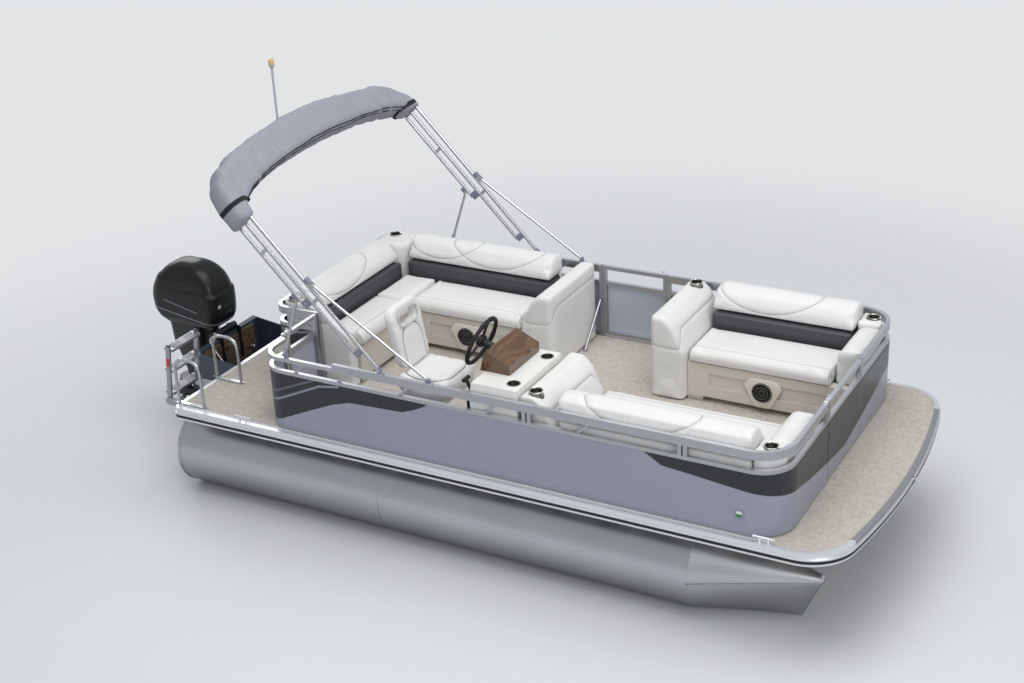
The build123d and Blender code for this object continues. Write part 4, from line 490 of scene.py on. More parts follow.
def mix_paints(colours):
    """Makes every finish once."""
    own = {name: tuple(getattr(colours, name)) for name in BoatColours.__annotations__}
    vinyl, charcoal = own["vinyl"], own["charcoal"]
    # The last entry of a row, where given, is the painted shade on faces that look sideways or down: their
    # darkness and the upward range it fades across
    metals = (
        ("hull_aluminium", "pontoon_aluminium", (0.52, 0.53, 0.55), 0.34, (3.0, 60.0, 60.0), 0.10, 0.04,
         (0.42, -0.95, 0.35)),
        ("frame_aluminium", "frame_aluminium", (0.56, 0.57, 0.60), 0.40, (4.0, 120.0, 120.0), 0.12),
        ("rail_aluminium", "rail_aluminium", (0.80, 0.81, 0.85), 0.32, (6.0, 140.0, 140.0), 0.08, 0.0,
         (0.52, -0.1, 0.8)),
        ("tube_aluminium", "tube_aluminium", (0.64, 0.65, 0.68), 0.26, (30.0, 120.0, 30.0), 0.08),
        ("steel", "cup_steel", (0.62, 0.60, 0.56), 0.24, (240.0, 240.0, 12.0), 0.14))
    mouldings = (
        ("rub_black", "rub_rubber", srgb(24, 24, 26), 0.6, 320.0),
        ("pod_navy", "well_navy", own["pod"], 0.4, 180.0, 0.0006, 0.1, 0.12),
        ("bezel_beige", "bezel_moulding", shaded(own["base"], 1.10), 0.5, 240.0),
        ("console_white", "console_gelcoat", srgb(226, 225, 221), 0.28, 90.0, 0.0003, 0.3, 0.03),
        ("black_plastic", "black_moulding", srgb(26, 27, 30), 0.42, 300.0),
        ("soft_black", "black_rubber", srgb(19, 19, 21), 0.68, 340.0),
        ("drive_black", "drive_black", srgb(16, 17, 20), 0.46, 200.0, 0.0005, 0.2, 0.12),
        ("seam_grey", "seam_grey", srgb(160, 163, 170), 0.4, 300.0),
        # Painted shade: the slot's piping is white vinyl, painted a darker grey for the shade round the hand
        # slot
        ("piping_pale", "piping_pale", shaded(vinyl, 0.72), 0.5, 300.0),
        ("nylon", "joint_nylon", srgb(120, 124, 146), 0.45, 260.0),
        ("pole_grey", "pole_paint", srgb(168, 171, 178), 0.35, 280.0),
        ("amber", "lamp_amber", srgb(208, 176, 120), 0.2, 60.0, 0.0004, 0.6),
        ("red", "reflector_red", srgb(196, 18, 22), 0.22, 500.0, 0.0008, 0.6),
        ("cable_pale", "cable_sheath", srgb(196, 194, 186), 0.45, 400.0),
        ("hose_black", "hose_rubber", srgb(30, 30, 32), 0.6, 300.0),
        ("dial_white", "dial_white", srgb(212, 212, 206), 0.35, 300.0, 0.0002, 0.4))
    PAINTS.update({key: brushed_metal(*row) for key, *row in metals})
    PAINTS.update({key: moulded(*row) for key, *row in mouldings})
    PAINTS.update({
        "trim_aluminium": edge_trim("trim_aluminium", (0.86, 0.87, 0.90)),
        "deck_vinyl": woven("deck_weave", own["deck"], 0.009, 0.0008, 0.24, slubs=(16.0, 62.0),
                            edge=FENCE_HALF - 0.010),
        "canvas_grey": woven("boot_canvas", own["canvas"], 0.006, 0.0008, 0.16, 0.9, "YZ"),
        "webbing": woven("strap_webbing", srgb(38, 39, 44), 0.005, 0.0006, 0.25, 0.85, "XZ"),
        "fence_paint": fence_paint("fence_gloss", own["fence"], own["sweep"]),
        "gate_frosted": frosted_panel("gate_frost", srgb(176, 184, 198)),
        "vinyl_white": seat_vinyl("seat_vinyl", vinyl, shaded(vinyl, 0.58)),
        "vinyl_piped": seat_vinyl("chair_vinyl", vinyl, shaded(charcoal, 0.5)),
        "vinyl_charcoal": seat_vinyl("band_vinyl", charcoal, shaded(charcoal, 0.4), vinyl),
        "base_beige": moulded_base("base_moulding", own["base"]),
        "dash_wood": wood_grain("dash_veneer", own["wood"]),
        "board_brown": wood_grain("transom_board", srgb(104, 86, 66)),
        "outboard_black": cowl_paint("cowl_black", srgb(13, 14, 16), srgb(120, 122, 128)),
        "lens": lamp_lens("lamp_lens", srgb(170, 16, 18), srgb(10, 120, 52), (0.75, 0.76, 0.78))})


NODE_PAINT = {
    "hull_aluminium": "pontoon_starboard pontoon_port",
    "frame_aluminium": "cross_members chair_pedestal ladder ladder_mounts",
    "deck_vinyl": "deck_board",
    "trim_aluminium": "deck_trim deck_hardware",
    "rub_black": "rub_strip",
    "pod_navy": "motor_pod",
    "rail_aluminium": "fence_rails_starboard fence_rails_port_bow fence_rails_port_aft "
                      "gate_bow_frame gate_port_frame gate_stern_frame",
    "fence_paint": "fence_skin_starboard fence_skin_port_bow fence_skin_port_aft "
                   "gate_bow_skin gate_stern_skin",
    "gate_frosted": "gate_port_skin",
    "tube_aluminium": "gate_brace bimini_legs bimini_braces bimini_struts hand_rails",
    "base_beige": "lounge_base bench_port_base bench_starboard_base",
    "steel": "cup_holders",
    "bezel_beige": "speakers",
    "console_white": "console",
    "dash_wood": "dash",
    "black_plastic": "steering_column throttle",
    "soft_black": "steering_wheel",
    "nylon": "bimini_feet",
    "pole_grey": "light_pole",
    "drive_black": "outboard_clamp outboard_swivel outboard_leg propeller",
    "lens": "nav_lights",
}


def wear(thing, paint):
    """Gives an object one finish in place of what it has."""
    thing.data.materials.clear()
    thing.data.materials.append(PAINTS[paint])


def smooth(mesh, degrees=None):
    """Rounds the shading, except over edges sharper than an angle where one is given."""
    mesh.polygons.foreach_set("use_smooth", [True] * len(mesh.polygons))
    if degrees:
        mesh.set_sharp_from_angle(angle=math.radians(degrees))


def new_object(name, form):
    """Makes an object of a bmesh, with its faces turned outward."""
    bmesh.ops.recalc_face_normals(form, faces=form.faces[:])
    mesh = bpy.data.meshes.new(name)
    form.to_mesh(mesh)
    form.free()
    thing = bpy.data.objects.new(name, mesh)
    bpy.context.scene.collection.objects.link(thing)
    return thing


def piece(name, form, body, paint, degrees=35.0):
    """Makes an object of a bmesh, finishes it and lets it ride on a body."""
    thing = new_object(name, form)
    wear(thing, paint)
    smooth(thing.data, degrees)
    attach(thing, body)
    return thing


def forms(count):
    """Empty forms to build pieces in."""
    return [bmesh.new() for _ in range(count)]


def square_to(direction):
    """Two unit vectors square to a direction and to each other."""
    along = Vector(direction).normalized()
    hint = Vector((0, 0, 1)) if abs(along.z) < 0.9 else Vector((1, 0, 0))
    side = along.cross(hint).normalized()
    return side, side.cross(along).normalized()


def skin_rings(form, rings, closed=False):
    """Joins rings of points with faces, round again to the first ring or closed by a face at each end."""
    rows = [[form.verts.new(point) for point in ring] for ring in rings]
    pairs = list(zip(rows, rows[1:])) + ([(rows[-1], rows[0])] if closed else [])
    for first, second in pairs:
        count = len(first)
        for index in range(count):
            after = (index + 1) % count
            form.faces.new((first[index], first[after], second[after], second[index]))
    if not closed:
        form.faces.new(rows[0][::-1])
        form.faces.new(rows[-1])


def circle(centre, one, two, radius, count):
    """Points round a circle, from one direction towards another."""
    turns = np.linspace(0.0, 2.0 * math.pi, count, endpoint=False)
    return [centre + (one * math.cos(turn) + two * math.sin(turn)) * radius for turn in turns]


def turned(form, centre, axis, profile, sides=28):
    """A turned form: profile gives radius and height along the axis."""
    along = Vector(axis).normalized()
    side, other = square_to(along)
    skin_rings(form, [circle(Vector(centre) + along * height, side, other, radius, sides)
                      for radius, height in profile])


def bar(form, points, radius, sides=10, closed=False):
    """A round bar through points."""
    points = [Vector(p) for p in points]
    count = len(points)
    rings = []
    side = None
    for index, point in enumerate(points):
        before = points[index - 1] if index or closed else point
        after = points[(index + 1) % count] if index < count - 1 or closed else point
        along = (after - before).normalized()
        if side is None:
            side, other = square_to(along)
        else:
            side = (side - along * side.dot(along)).normalized()
            other = along.cross(side)
        rings.append(circle(point, side, other, radius, sides))
    skin_rings(form, rings, closed)


SLAB_CORNER_STEPS = 4
QUARTERS = ((1, 1), (-1, 1), (-1, -1), (1, -1))


def slab(form, centre, along, across, length, width, thick, edge=0.002, corner=0.0):
    """A plate with rounded edges, lying on centre, thick along its third direction."""
    along, across = Vector(along).normalized(), Vector(across).normalized()
    normal = along.cross(across)
    corner = min(max(corner, edge), length / 2 - 1e-4, width / 2 - 1e-4)

    def outline(inset):
        half_l, half_w = length / 2 - inset, width / 2 - inset
        radius = max(corner - inset, 1e-4)
        ring = []
        for quarter, (sign_l, sign_w) in enumerate(QUARTERS):
            for step in range(SLAB_CORNER_STEPS + 1):
                angle = math.pi / 2 * (quarter + step / SLAB_CORNER_STEPS)
                ring.append((sign_l * (half_l - radius) + radius * math.cos(angle),
                             sign_w * (half_w - radius) + radius * math.sin(angle)))
        return ring

    rings = []
    for inset, height in ((0.0, 0.0), (0.0, thick - edge), (edge * 0.3, thick - edge * 0.3), (edge, thick)):
        rings.append([Vector(centre) + along * a + across * b + normal * height for a, b in outline(inset)])
    skin_rings(form, rings)


def screw(form, centre, axis, radius):
    """A pan head with a washer under it."""
    turned(form, centre, axis, ((radius * 1.6, 0.0), (radius * 1.6, 0.0012), (radius, 0.0014),
                                (radius * 0.95, 0.003), (radius * 0.6, 0.0045), (radius * 0.12, 0.005)), 12)


def section(mesh, point, normal):
    """Closed lines where a mesh is cut by a plane, each as ordered points."""
    form = bmesh.new()
    form.from_mesh(mesh)
    bmesh.ops.remove_doubles(form, verts=form.verts[:], dist=1e-5)
    cut = bmesh.ops.bisect_plane(form, geom=form.verts[:] + form.edges[:] + form.faces[:],
                                 plane_co=point, plane_no=normal)
    edges = [e for e in cut["geom_cut"] if isinstance(e, bmesh.types.BMEdge)]
    links = {}
    for edge in edges:
        one, two = edge.verts
        links.setdefault(one, []).append(two)
        links.setdefault(two, []).append(one)
    loops = []
    left = set(links)
    while left:
        start = min(left, key=lambda v: (round(v.co.x, 5), round(v.co.y, 5), round(v.co.z, 5)))
        path = [start]
        left.discard(start)
        while True:
            onward = [v for v in links[path[-1]] if v in left]
            if not onward:
                break
            path.append(onward[0])
            left.discard(onward[0])
        loops.append([v.co.copy() for v in path])
    form.free()
    return sorted(loops, key=len, reverse=True)


def thinned(points, gap):
    """Points along a closed line at about one spacing."""
    kept = [points[0]]
    for point in points[1:]:
        if (point - kept[-1]).length >= gap:
            kept.append(point)
    if (kept[0] - kept[-1]).length < gap * 0.5:
        kept.pop()
    return kept


def solid_near(node, point):
    """The one solid of a node whose middle is nearest to a point, as a bmesh."""
    form = bmesh.new()
    form.from_mesh(NODES[node].data)
    bmesh.ops.remove_doubles(form, verts=form.verts[:], dist=1e-5)
    seen = set()
    best = None
    for first in form.verts:
        if first in seen:
            continue
        group, queue = {first}, [first]
        while queue:
            for edge in queue.pop().link_edges:
                for other in edge.verts:
                    if other not in group:
                        group.add(other)
                        queue.append(other)
        seen |= group
        if len(group) < 6:
            continue
        low = Vector([min(v.co[i] for v in group) for i in range(3)])
        high = Vector([max(v.co[i] for v in group) for i in range(3)])
        reach = ((low + high) / 2 - Vector(point)).length
        if best is None or reach < best[0]:
            best = (reach, group)
    bmesh.ops.delete(form, geom=[v for v in form.verts if v not in best[1]], context="VERTS")
    return form


CUPS = (at(4.323, 1.078, 0.670), at(4.323, -0.401, 0.670), at(1.555, 1.078, 0.670), at(1.830, -1.078, 0.670),
        at(0.147, 1.078, 0.615), at(0.147, -1.078, 0.615))


def flat_seam(axis, place):
    """A straight seam where one coordinate has a value."""
    def reach(point):
        return point[axis] - place
    return reach


def dipped_seam(axis, middle, low=DECK + 0.567, rise=0.11, half=0.36):
    """A seam that dips in a smile along one axis of a backrest."""
    def reach(point):
        run = (point[axis] - middle) / half
        slope = 2.0 * rise * run / half
        if abs(run) > 1.25:
            return 1.0
        return (point.z - low - rise * run * run) / math.sqrt(1.0 + slope * slope)
    return reach


CHAIR = at(2.830, -0.755, 0.0)
ARCH_FOOT, ARCH_RISE, ARCH_HALF = 0.64, 0.185, 0.128
LOOP_SIDE, LOOP_RUN, LOOP_HALF = 0.195, 0.185, 0.19


def arch_seam(point):
    """The arched seam on the front of the helm chair's back, under its hand slot."""
    rise = max(point.z - DECK - ARCH_FOOT, 0.0) / ARCH_RISE
    return ((abs(point.y - CHAIR.y) / ARCH_HALF) ** 3 + rise ** 3) ** (1 / 3) * ARCH_HALF - ARCH_HALF


def loop_seam(point):
    """A seam that follows the rim of the helm seat's top."""
    side, run = (point.y - CHAIR.y) / LOOP_SIDE, (point.x - CHAIR.x) / LOOP_RUN
    return (run ** 4 + side ** 4) ** 0.25 * LOOP_HALF - LOOP_HALF


ARM_NOSE = 0.52


def arm_seam(point):
    """The seam under an arm's roll, which curves down over the arm's nose."""
    ahead = max(0.0, ARM_NOSE - abs(point.y)) / 0.16
    return point.z - DECK - 0.548 + 0.16 * ahead * ahead


SEAT_SEAM = 0.482
Cushion = namedtuple("Cushion", "name node point seams share body paint",
                     defaults=((), 1.0, "hull", "vinyl_white"))
BAND = ((), 0.5, "hull", "vinyl_charcoal")
CUSHIONS = (
    Cushion("lounge_seat_cushion", "lounge_seat", at(3.275, 0.62, 0.372), (flat_seam(1, SEAT_SEAM),), 1.0,
            "lounge_lid"),
    Cushion("lounge_aft_cushion", "lounge_seat_fixed", at(3.925, 0.02, 0.372),
            (flat_seam(0, FRONT - 3.841),)),
    Cushion("lounge_corner_cushion", "lounge_seat_fixed", at(3.949, 0.62, 0.372)),
    Cushion("lounge_port_back", "lounge_backs", at(3.435, 1.04, 0.622),
            (dipped_seam(0, FRONT - 3.295), dipped_seam(0, FRONT - 3.815, DECK + 0.582, 0.09, 0.30)), 0.9),
    Cushion("lounge_aft_back", "lounge_backs", at(4.285, 0.26, 0.622), (dipped_seam(1, 0.10),), 0.9),
    Cushion("lounge_fore_arm", "lounge_arms", at(2.615, 0.77, 0.332), (arm_seam,), 0.9),
    Cushion("lounge_end_arm", "lounge_arms", at(4.105, -0.4, 0.332), (arm_seam,), 0.7),
    Cushion("lounge_corner_post", "lounge_arms", at(4.265, 1.02, 0.492), (), 0.7),
    Cushion("port_bench_cushion", "bench_port_seat", at(0.805, 0.62, 0.372), (flat_seam(1, SEAT_SEAM),), 1.0,
            "bench_port_lid"),
    Cushion("port_bench_back", "bench_port_back", at(0.805, 1.04, 0.622),
            (dipped_seam(0, FRONT - 0.945),), 0.9),
    Cushion("port_bench_arm", "bench_port_ends", at(1.505, 0.77, 0.332), (arm_seam,), 0.9),
    Cushion("port_bench_bolster", "bench_port_ends", at(0.142, 0.73, 0.462)),
    Cushion("port_bench_corner", "bench_port_ends", at(0.142, 1.076, 0.462), (), 0.7),
    Cushion("starboard_bench_cushion", "bench_starboard_seat", at(0.945, -0.62, 0.372),
            (flat_seam(1, -SEAT_SEAM),), 1.0, "bench_starboard_lid"),
    Cushion("starboard_bench_back", "bench_starboard_back", at(0.945, -1.04, 0.622),
            (dipped_seam(0, FRONT - 1.045),), 0.9),
    Cushion("starboard_bench_arm", "bench_starboard_ends", at(1.780, -0.77, 0.332), (arm_seam,), 0.9),
    Cushion("starboard_bench_bolster", "bench_starboard_ends", at(0.142, -0.73, 0.462)),
    Cushion("starboard_bench_corner", "bench_starboard_ends", at(0.142, -1.076, 0.462), (), 0.7),
    Cushion("lounge_port_band", "seat_bands", at(3.433, 1.03, 0.422), *BAND),
    Cushion("lounge_aft_band", "seat_bands", at(4.272, 0.26, 0.422), *BAND),
    Cushion("port_bench_band", "seat_bands", at(0.801, 1.03, 0.422), *BAND),
    Cushion("starboard_bench_band", "seat_bands", at(0.939, -1.03, 0.422), *BAND),
    Cushion("helm_seat_cushion", "chair_seat", at(2.830, -0.755, 0.422), (loop_seam,), 1.1, "helm_chair",
            "vinyl_piped"),
    Cushion("helm_back_cushion", "chair_back", at(3.055, -0.755, 0.762), (arch_seam,), 0.9, "helm_chair",
            "vinyl_piped"),
)


def settled(mesh):
    """A mesh's points and their normals as arrays."""
    count = len(mesh.vertices)
    points = np.zeros(count * 3)
    normals = np.zeros(count * 3)
    mesh.vertices.foreach_get("co", points)
    mesh.vertex_normals.foreach_get("vector", normals)
    return points.reshape(-1, 3), normals.reshape(-1, 3)


def remeshed(name, form, voxel):
    """A new object with an even quad mesh of a closed form."""
    thing = new_object(name, form)
    even = thing.modifiers.new("Even mesh", "REMESH")
    even.mode = "VOXEL"
    even.voxel_size = voxel
    even.adaptivity = 0.0
    graph = bpy.context.evaluated_depsgraph_get()
    done = bpy.data.meshes.new_from_object(thing.evaluated_get(graph))
    thing.modifiers.clear()
    thing.data = done
    return thing


def put_points(mesh, points):
    mesh.vertices.foreach_set("co", np.ascontiguousarray(points, dtype=np.float32).ravel())
    mesh.update()


def eased(mesh, points, rounds, share=0.5):
    """Averages points with their neighbours, to round off corners."""
    edges = np.zeros(len(mesh.edges) * 2, dtype=np.int64)
    mesh.edges.foreach_get("vertices", edges)
    edges = edges.reshape(-1, 2)
    degree = np.bincount(edges.ravel(), minlength=len(points)).reshape(-1, 1)
    for _ in range(rounds):
        total = np.zeros_like(points)
        np.add.at(total, edges[:, 0], points[edges[:, 1]])
        np.add.at(total, edges[:, 1], points[edges[:, 0]])
        points = points * (1.0 - share) + total / np.maximum(degree, 1) * share
    return points


CUP_REACH = 0.0465


def cup_clear(points):
    """Keeps the covers clear of the cup holders let into them."""
    for x, y, rim in CUPS:
        offset = points[:, :2] - np.array((x, y))
        radius = np.linalg.norm(offset, axis=1)
        inside = (radius < CUP_REACH) & (points[:, 2] > rim - 0.09) & (radius > 1e-4)
        points[inside, :2] = np.array((x, y)) + offset[inside] * (CUP_REACH / radius[inside])[:, None]
    return points


def swell(things, pressure=4.0, frames=20):
    """Blows the covers up with Blender's cloth, all in one run."""
    scene = bpy.context.scene
    for thing, low in things:
        group = thing.vertex_groups.new(name="resting")
        points, normals = settled(thing.data)
        resting = [int(i) for i in np.nonzero((points[:, 2] < low + 0.02) & (normals[:, 2] < -0.5))[0]]
        if resting:
            group.add(resting, 1.0, "REPLACE")
        cloth = thing.modifiers.new("Stuffing", "CLOTH")
        cloth.settings.use_pressure = True
        cloth.settings.uniform_pressure_force = pressure
        cloth.settings.effector_weights.gravity = 0.0
        cloth.settings.vertex_group_mass = "resting"
        cloth.settings.quality = 4
        cloth.collision_settings.use_collision = False
        cloth.point_cache.frame_start = 1
        cloth.point_cache.frame_end = frames
    for step in range(1, frames + 1):
        scene.frame_set(step)
    graph = bpy.context.evaluated_depsgraph_get()
    out = {}
    for thing, _ in things:
        shape = thing.evaluated_get(graph).to_mesh()
        moved = np.zeros(len(shape.vertices) * 3)
        shape.vertices.foreach_get("co", moved)
        out[thing.name] = moved.reshape(-1, 3)
        thing.evaluated_get(graph).to_mesh_clear()
    for thing, _ in things:
        thing.modifiers.clear()
        thing.vertex_groups.clear()
    scene.frame_set(1)
    return out


def sew(thing, seams, width, depth=0.006):
    """Pulls the cover in along its seams, and keeps each seam's distance for the finish."""
    mesh = thing.data
    points, normals = settled(mesh)
    for name, seam in zip(SEAM_NAMES, list(seams) + [None] * len(SEAM_NAMES)):
        far = np.ones(len(points))
        if seam is not None:
            far = np.array([seam(Vector(point)) for point in points])
            near = np.clip(1.0 - np.abs(far) / width, 0.0, 1.0)
            points = points - normals * (near ** 2 * depth)[:, None]
        layer = mesh.attributes.new(name, "FLOAT", "POINT")
        layer.data.foreach_set("value", far.astype(np.float32))
    put_points(mesh, points)


def make_cushions():
    """Every cushion of the boat, from its solid to a stuffed, sewn cover."""
    sizes = bpy.context.scene.boat_sizes
    made = []
    for row in CUSHIONS:
        thing = remeshed(row.name, solid_near(row.node, row.point), sizes.voxel)
        points, normals = settled(thing.data)
        put_points(thing.data, eased(thing.data, points - normals * sizes.shrink, 3))
        made.append((thing, points[:, 2].min()))
    full = swell(made)
    for (thing, low), row in zip(made, CUSHIONS):
        start, _ = settled(thing.data)
        move = full[thing.name] - start
        reach = np.linalg.norm(move, axis=1, keepdims=True)
        move = move * np.minimum(1.0, sizes.swell * row.share / np.maximum(reach, 1e-9))
        points = cup_clear(eased(thing.data, start + move, 2))
        points[:, 2] = np.maximum(points[:, 2], low + 0.0005)
        put_points(thing.data, points)
        sew(thing, row.seams, sizes.seam)
        wear(thing, row.paint)
        smooth(thing.data)
        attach(thing, row.body)
        "vinyl_charcoal" if row.paint == "vinyl_charcoal" else "vinyl_white"
        0.5 + 0.4 * min(row.share, 1.0)
        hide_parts(row.node)


LEAN = math.radians(46.0)
LEG_WAY = Vector((-math.cos(LEAN), 0.0, math.sin(LEAN)))
LEG_FACE = Vector((math.sin(LEAN), 0.0, math.cos(LEAN)))
BIMINI_FOOT = at(3.017, 0.0, 0.652)


def bow_point(along, face, side):
    """A place on the folded top: along the legs from their pivot, square to the bows, and to port."""
    return BIMINI_FOOT + LEG_WAY * along + LEG_FACE * face + Vector((0.0, side, 0.0))


def band_round(form, ring, way, width, thick):
    """A flat band that lies round a closed line."""
    centre = sum(ring, Vector()) / len(ring)
    rows = []
    for point in ring:
        out = point - centre
        out = (out - way * out.dot(way)).normalized()
        rows.append([point + out * lift + way * shift for lift, shift in
                     ((-0.002, -width / 2), (thick, -width / 2), (thick, width / 2), (-0.002, width / 2))])
    skin_rings(form, rows, closed=True)


BOOT_OUTER = (
    (-1.292, 1.425), (-1.292, 1.600), (-1.255, 1.735), (-1.130, 1.855), (-0.950, 1.915), (-0.600, 1.960),
    (-0.200, 2.000), (0.150, 2.002), (0.500, 1.965), (0.800, 1.918), (1.000, 1.868), (1.140, 1.795),
    (1.240, 1.695), (1.288, 1.600), (1.290, 1.560))
BOOT_INNER = (
    (1.124, 1.560), (1.085, 1.592), (0.900, 1.643), (0.600, 1.682), (0.350, 1.698), (0.000, 1.705),
    (-0.270, 1.698), (-0.690, 1.652), (-0.950, 1.592), (-1.090, 1.530), (-1.124, 1.470), (-1.124, 1.425))

BOOT_FACES = ((0.050, 0.026), (0.012, 0.004), (0.0, -0.035), (0.0, -0.113), (0.012, -0.152), (0.050, -0.174))


def boot_form():
    """The boot's closed form: its outline in the plane of the bows, drawn in towards both faces."""
    outline = [Vector((side, along, 0.0)) for side, along in BOOT_OUTER + BOOT_INNER]
    ends = (len(BOOT_OUTER) - 1, len(outline) - 1)
    rings = []
    for inset, face in BOOT_FACES:
        ring = []
        for index, point in enumerate(outline):
            came = (point - outline[index - 1]).normalized()
            goes = (outline[(index + 1) % len(outline)] - point).normalized()
            left, right = Vector((-came.y, came.x, 0.0)), Vector((-goes.y, goes.x, 0.0))
            if index in ends:
                move = left
            elif (index - 1) % len(outline) in ends:
                move = right
            else:
                move = (left + right) / (1.0 + left.dot(right))
            drawn = point - move * inset
            ring.append(bow_point(drawn.y, face, drawn.x))
        rings.append(ring)
    form = bmesh.new()
    skin_rings(form, rings)
    bmesh.ops.triangulate(form, faces=form.faces[:])
    return form


BOOT_MESH = 0.016
STRAPS = ((1.555, -1.0), (1.612, 1.0))


def make_boot():
    """The canvas boot over the folded top: a soft sleeve with gathers, two straps and piping."""
    thing = remeshed("bimini_boot_sleeve", boot_form(), BOOT_MESH)
    points, normals = settled(thing.data)
    put_points(thing.data, eased(thing.data, points - normals * 0.002, 7))
    points, normals = settled(thing.data)
    push = np.zeros(len(points))
    for index, point in enumerate(points):
        spot = Vector(point) - BIMINI_FOOT
        along, side = spot.dot(LEG_WAY), point[1]
        fan = side + 0.22 * (along - 1.85) * (1.0 if side > 0 else -1.0)
        bend = min(1.0, max(0.0, (abs(side) - 0.35) / 0.5))
        gather = noise.noise(Vector((fan * 11.0, along * 1.3, 3.7)))
        slack = noise.noise(Vector((side * 3.1, along * 4.0, spot.dot(LEG_FACE) * 4.0 + 9.0)))
        crease = noise.noise(Vector((fan * 26.0, along * 2.0, 7.1)))
        push[index] = (0.007 + 0.012 * bend) * gather + 0.009 * slack + (0.003 + 0.006 * bend) * crease
    put_points(thing.data, eased(thing.data, points + normals * push[:, None], 1))
    wear(thing, "canvas_grey")
    smooth(thing.data)
    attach(thing, "bimini")
    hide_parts("bimini_boot")
    straps = bmesh.new()
    for along, sign in STRAPS:
        for ring in section(thing.data, bow_point(along, 0.0, 0.0), LEG_WAY):
            middle = sum(ring, Vector()) / len(ring)
            if middle.y * sign > 0.6:
                band_round(straps, thinned(ring, 0.018), LEG_WAY, 0.036, 0.004)
                break
    piece("boot_straps", straps, "bimini", "webbing")
    points, _ = settled(thing.data)
    local = points - np.array(BIMINI_FOOT)
    along, face = local @ np.array(LEG_WAY), local @ np.array(LEG_FACE)
    piping = bmesh.new()
    for reach, size in ((0.9, 0.0045), (0.35, 0.0035)):
        line = []
        for side in np.linspace(-1.06, 1.06, 40):
            strip = np.nonzero(np.abs(points[:, 1] - side) < 0.013)[0]
            best = strip[np.argmax(face[strip] * reach - along[strip])]
            line.append(Vector(points[best]) + LEG_FACE * 0.002)
        for _ in range(2):
            line = [line[0]] + [(p + q * 2 + r) / 4 for p, q, r in zip(line, line[1:], line[2:])] + [line[-1]]
        bar(piping, line, size, 8)
    piece("boot_piping", piping, "bimini", "webbing")


POD = ((-0.150, 0.045), (-0.105, 0.098), (0.105, 0.098), (0.150, 0.045), (0.062, -0.128), (-0.062, -0.128))
POD_STEPS = ((1.0, 0.0), (1.0, 0.012), (0.972, 0.0165), (0.93, 0.018))
CONE = ((0.079, 0.0), (0.079, 0.0035), (0.071, 0.0055), (0.066, 0.0035), (0.056, 0.0015),
        (0.030, 0.001), (0.026, 0.0035), (0.017, 0.0065), (0.003, 0.0075))
SPEAKER_RINGS = ((0.0735, 0.0058, 0.0024), (0.047, 0.0088, 0.0016), (0.0225, 0.0072, 0.0018))
SPEAKER_RISE = 0.175
AHEAD, PORT, UP = Vector((1, 0, 0)), Vector((0, 1, 0)), Vector((0, 0, 1))


def make_speakers():
    """Speaker pods, rings, cones, caps and grille ribs in the bench fronts, and rims of the cup holders."""
    pods, rims, cones, rings = forms(4)
    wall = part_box("bench_port_base")[0].y
    for aft, sign in ((3.270, 1), (0.760, 1), (0.760, -1)):
        skin_rings(pods, [[at(aft, sign * (wall - depth), SPEAKER_RISE) + Vector((x * share, 0.0, z * share))
                           for x, z in rounded(POD, 0.030)] for share, depth in POD_STEPS])
        out = PORT * -sign
        face = at(aft, sign * 0.408, SPEAKER_RISE)
        turned(cones, face, out, CONE, 40)
        side, other = square_to(out)
        for way in circle(Vector(), side, other, 1.0, 10):
            bar(cones, [face + way * reach + out * lift
                        for reach, lift in ((0.024, 0.006), (0.048, 0.0085), (0.070, 0.006))], 0.0022, 8)
        for radius, lift, size in SPEAKER_RINGS:
            bar(rings, circle(face + out * lift, side, other, radius, 40), size, 8, closed=True)
        for degrees in (30, 150, -90):
            turn = math.radians(degrees)
            way = AHEAD * math.cos(turn) + UP * math.sin(turn)
            screw(rings, at(aft, sign * 0.421, SPEAKER_RISE) + way * 0.091, out, 0.0035)
    for cup in CUPS:
        bar(rims, circle(cup + UP * 0.002, AHEAD, PORT, 0.0475, 36), 0.0042, 8, closed=True)
    piece("speaker_pods", pods, "hull", "bezel_beige")
    piece("cup_rims", rims, "hull", "steel")
    piece("speaker_cones", cones, "hull", "soft_black")
    piece("speaker_rings", rings, "hull", "steel")


WHEEL_AXIS = Vector((-math.sin(math.radians(68.0)), 0.0, math.cos(math.radians(68.0))))
WHEEL = at(2.300, -0.790, 0.770) + WHEEL_AXIS * 0.120
DASH_FACE = Vector((-0.16, 0.0, 0.04)).normalized()
DASH_UP = Vector((0.04, 0.0, 0.16)).normalized()


def rounded(points, radius, steps=4):
    """The corners of a flat outline turned on a radius."""
    made = []
    for index, point in enumerate(points):
        here = Vector(point)
        came = (Vector(points[index - 1]) - here).normalized()
        goes = (Vector(points[(index + 1) % len(points)]) - here).normalized()
        reach = radius * math.tan((math.pi - came.angle(goes)) / 2)
        for step in range(steps + 1):
            part = step / steps
            made.append(tuple(here + came * reach * (1 - part) ** 2 + goes * reach * part ** 2))
    return made


def dash_point(side, rise):
    """A place on the dash's aft face, by its side and its height above the console."""
    return at(2.320, side, 0.690) + DASH_UP * rise


SPOKES = (-90.0, 30.0, 150.0)
WHEEL_RADIUS = 0.180
WHEEL_CAP = ((0.040, 0.015), (0.043, 0.019), (0.040, 0.024), (0.030, 0.030), (0.026, 0.029),
             (0.012, 0.031), (0.002, 0.0315))
DIALS = ((-0.925, 0.036), (-0.665, 0.036), (-0.590, 0.024))
BEZEL = ((1.0, 0.0), (1.0, 0.006), (0.93, 0.008), (0.86, 0.005), (0.84, 0.002))
DIAL_FACE = ((0.85, 0.0), (0.85, 0.003), (0.80, 0.0033), (0.10, 0.0034))
DIAL_CAP = ((0.12, 0.0034), (0.11, 0.0055), (0.03, 0.006))


def scaled(profile, size):
    """A turned form's profile with its radii given as shares of a size."""
    return [(radius * size, height) for radius, height in profile]


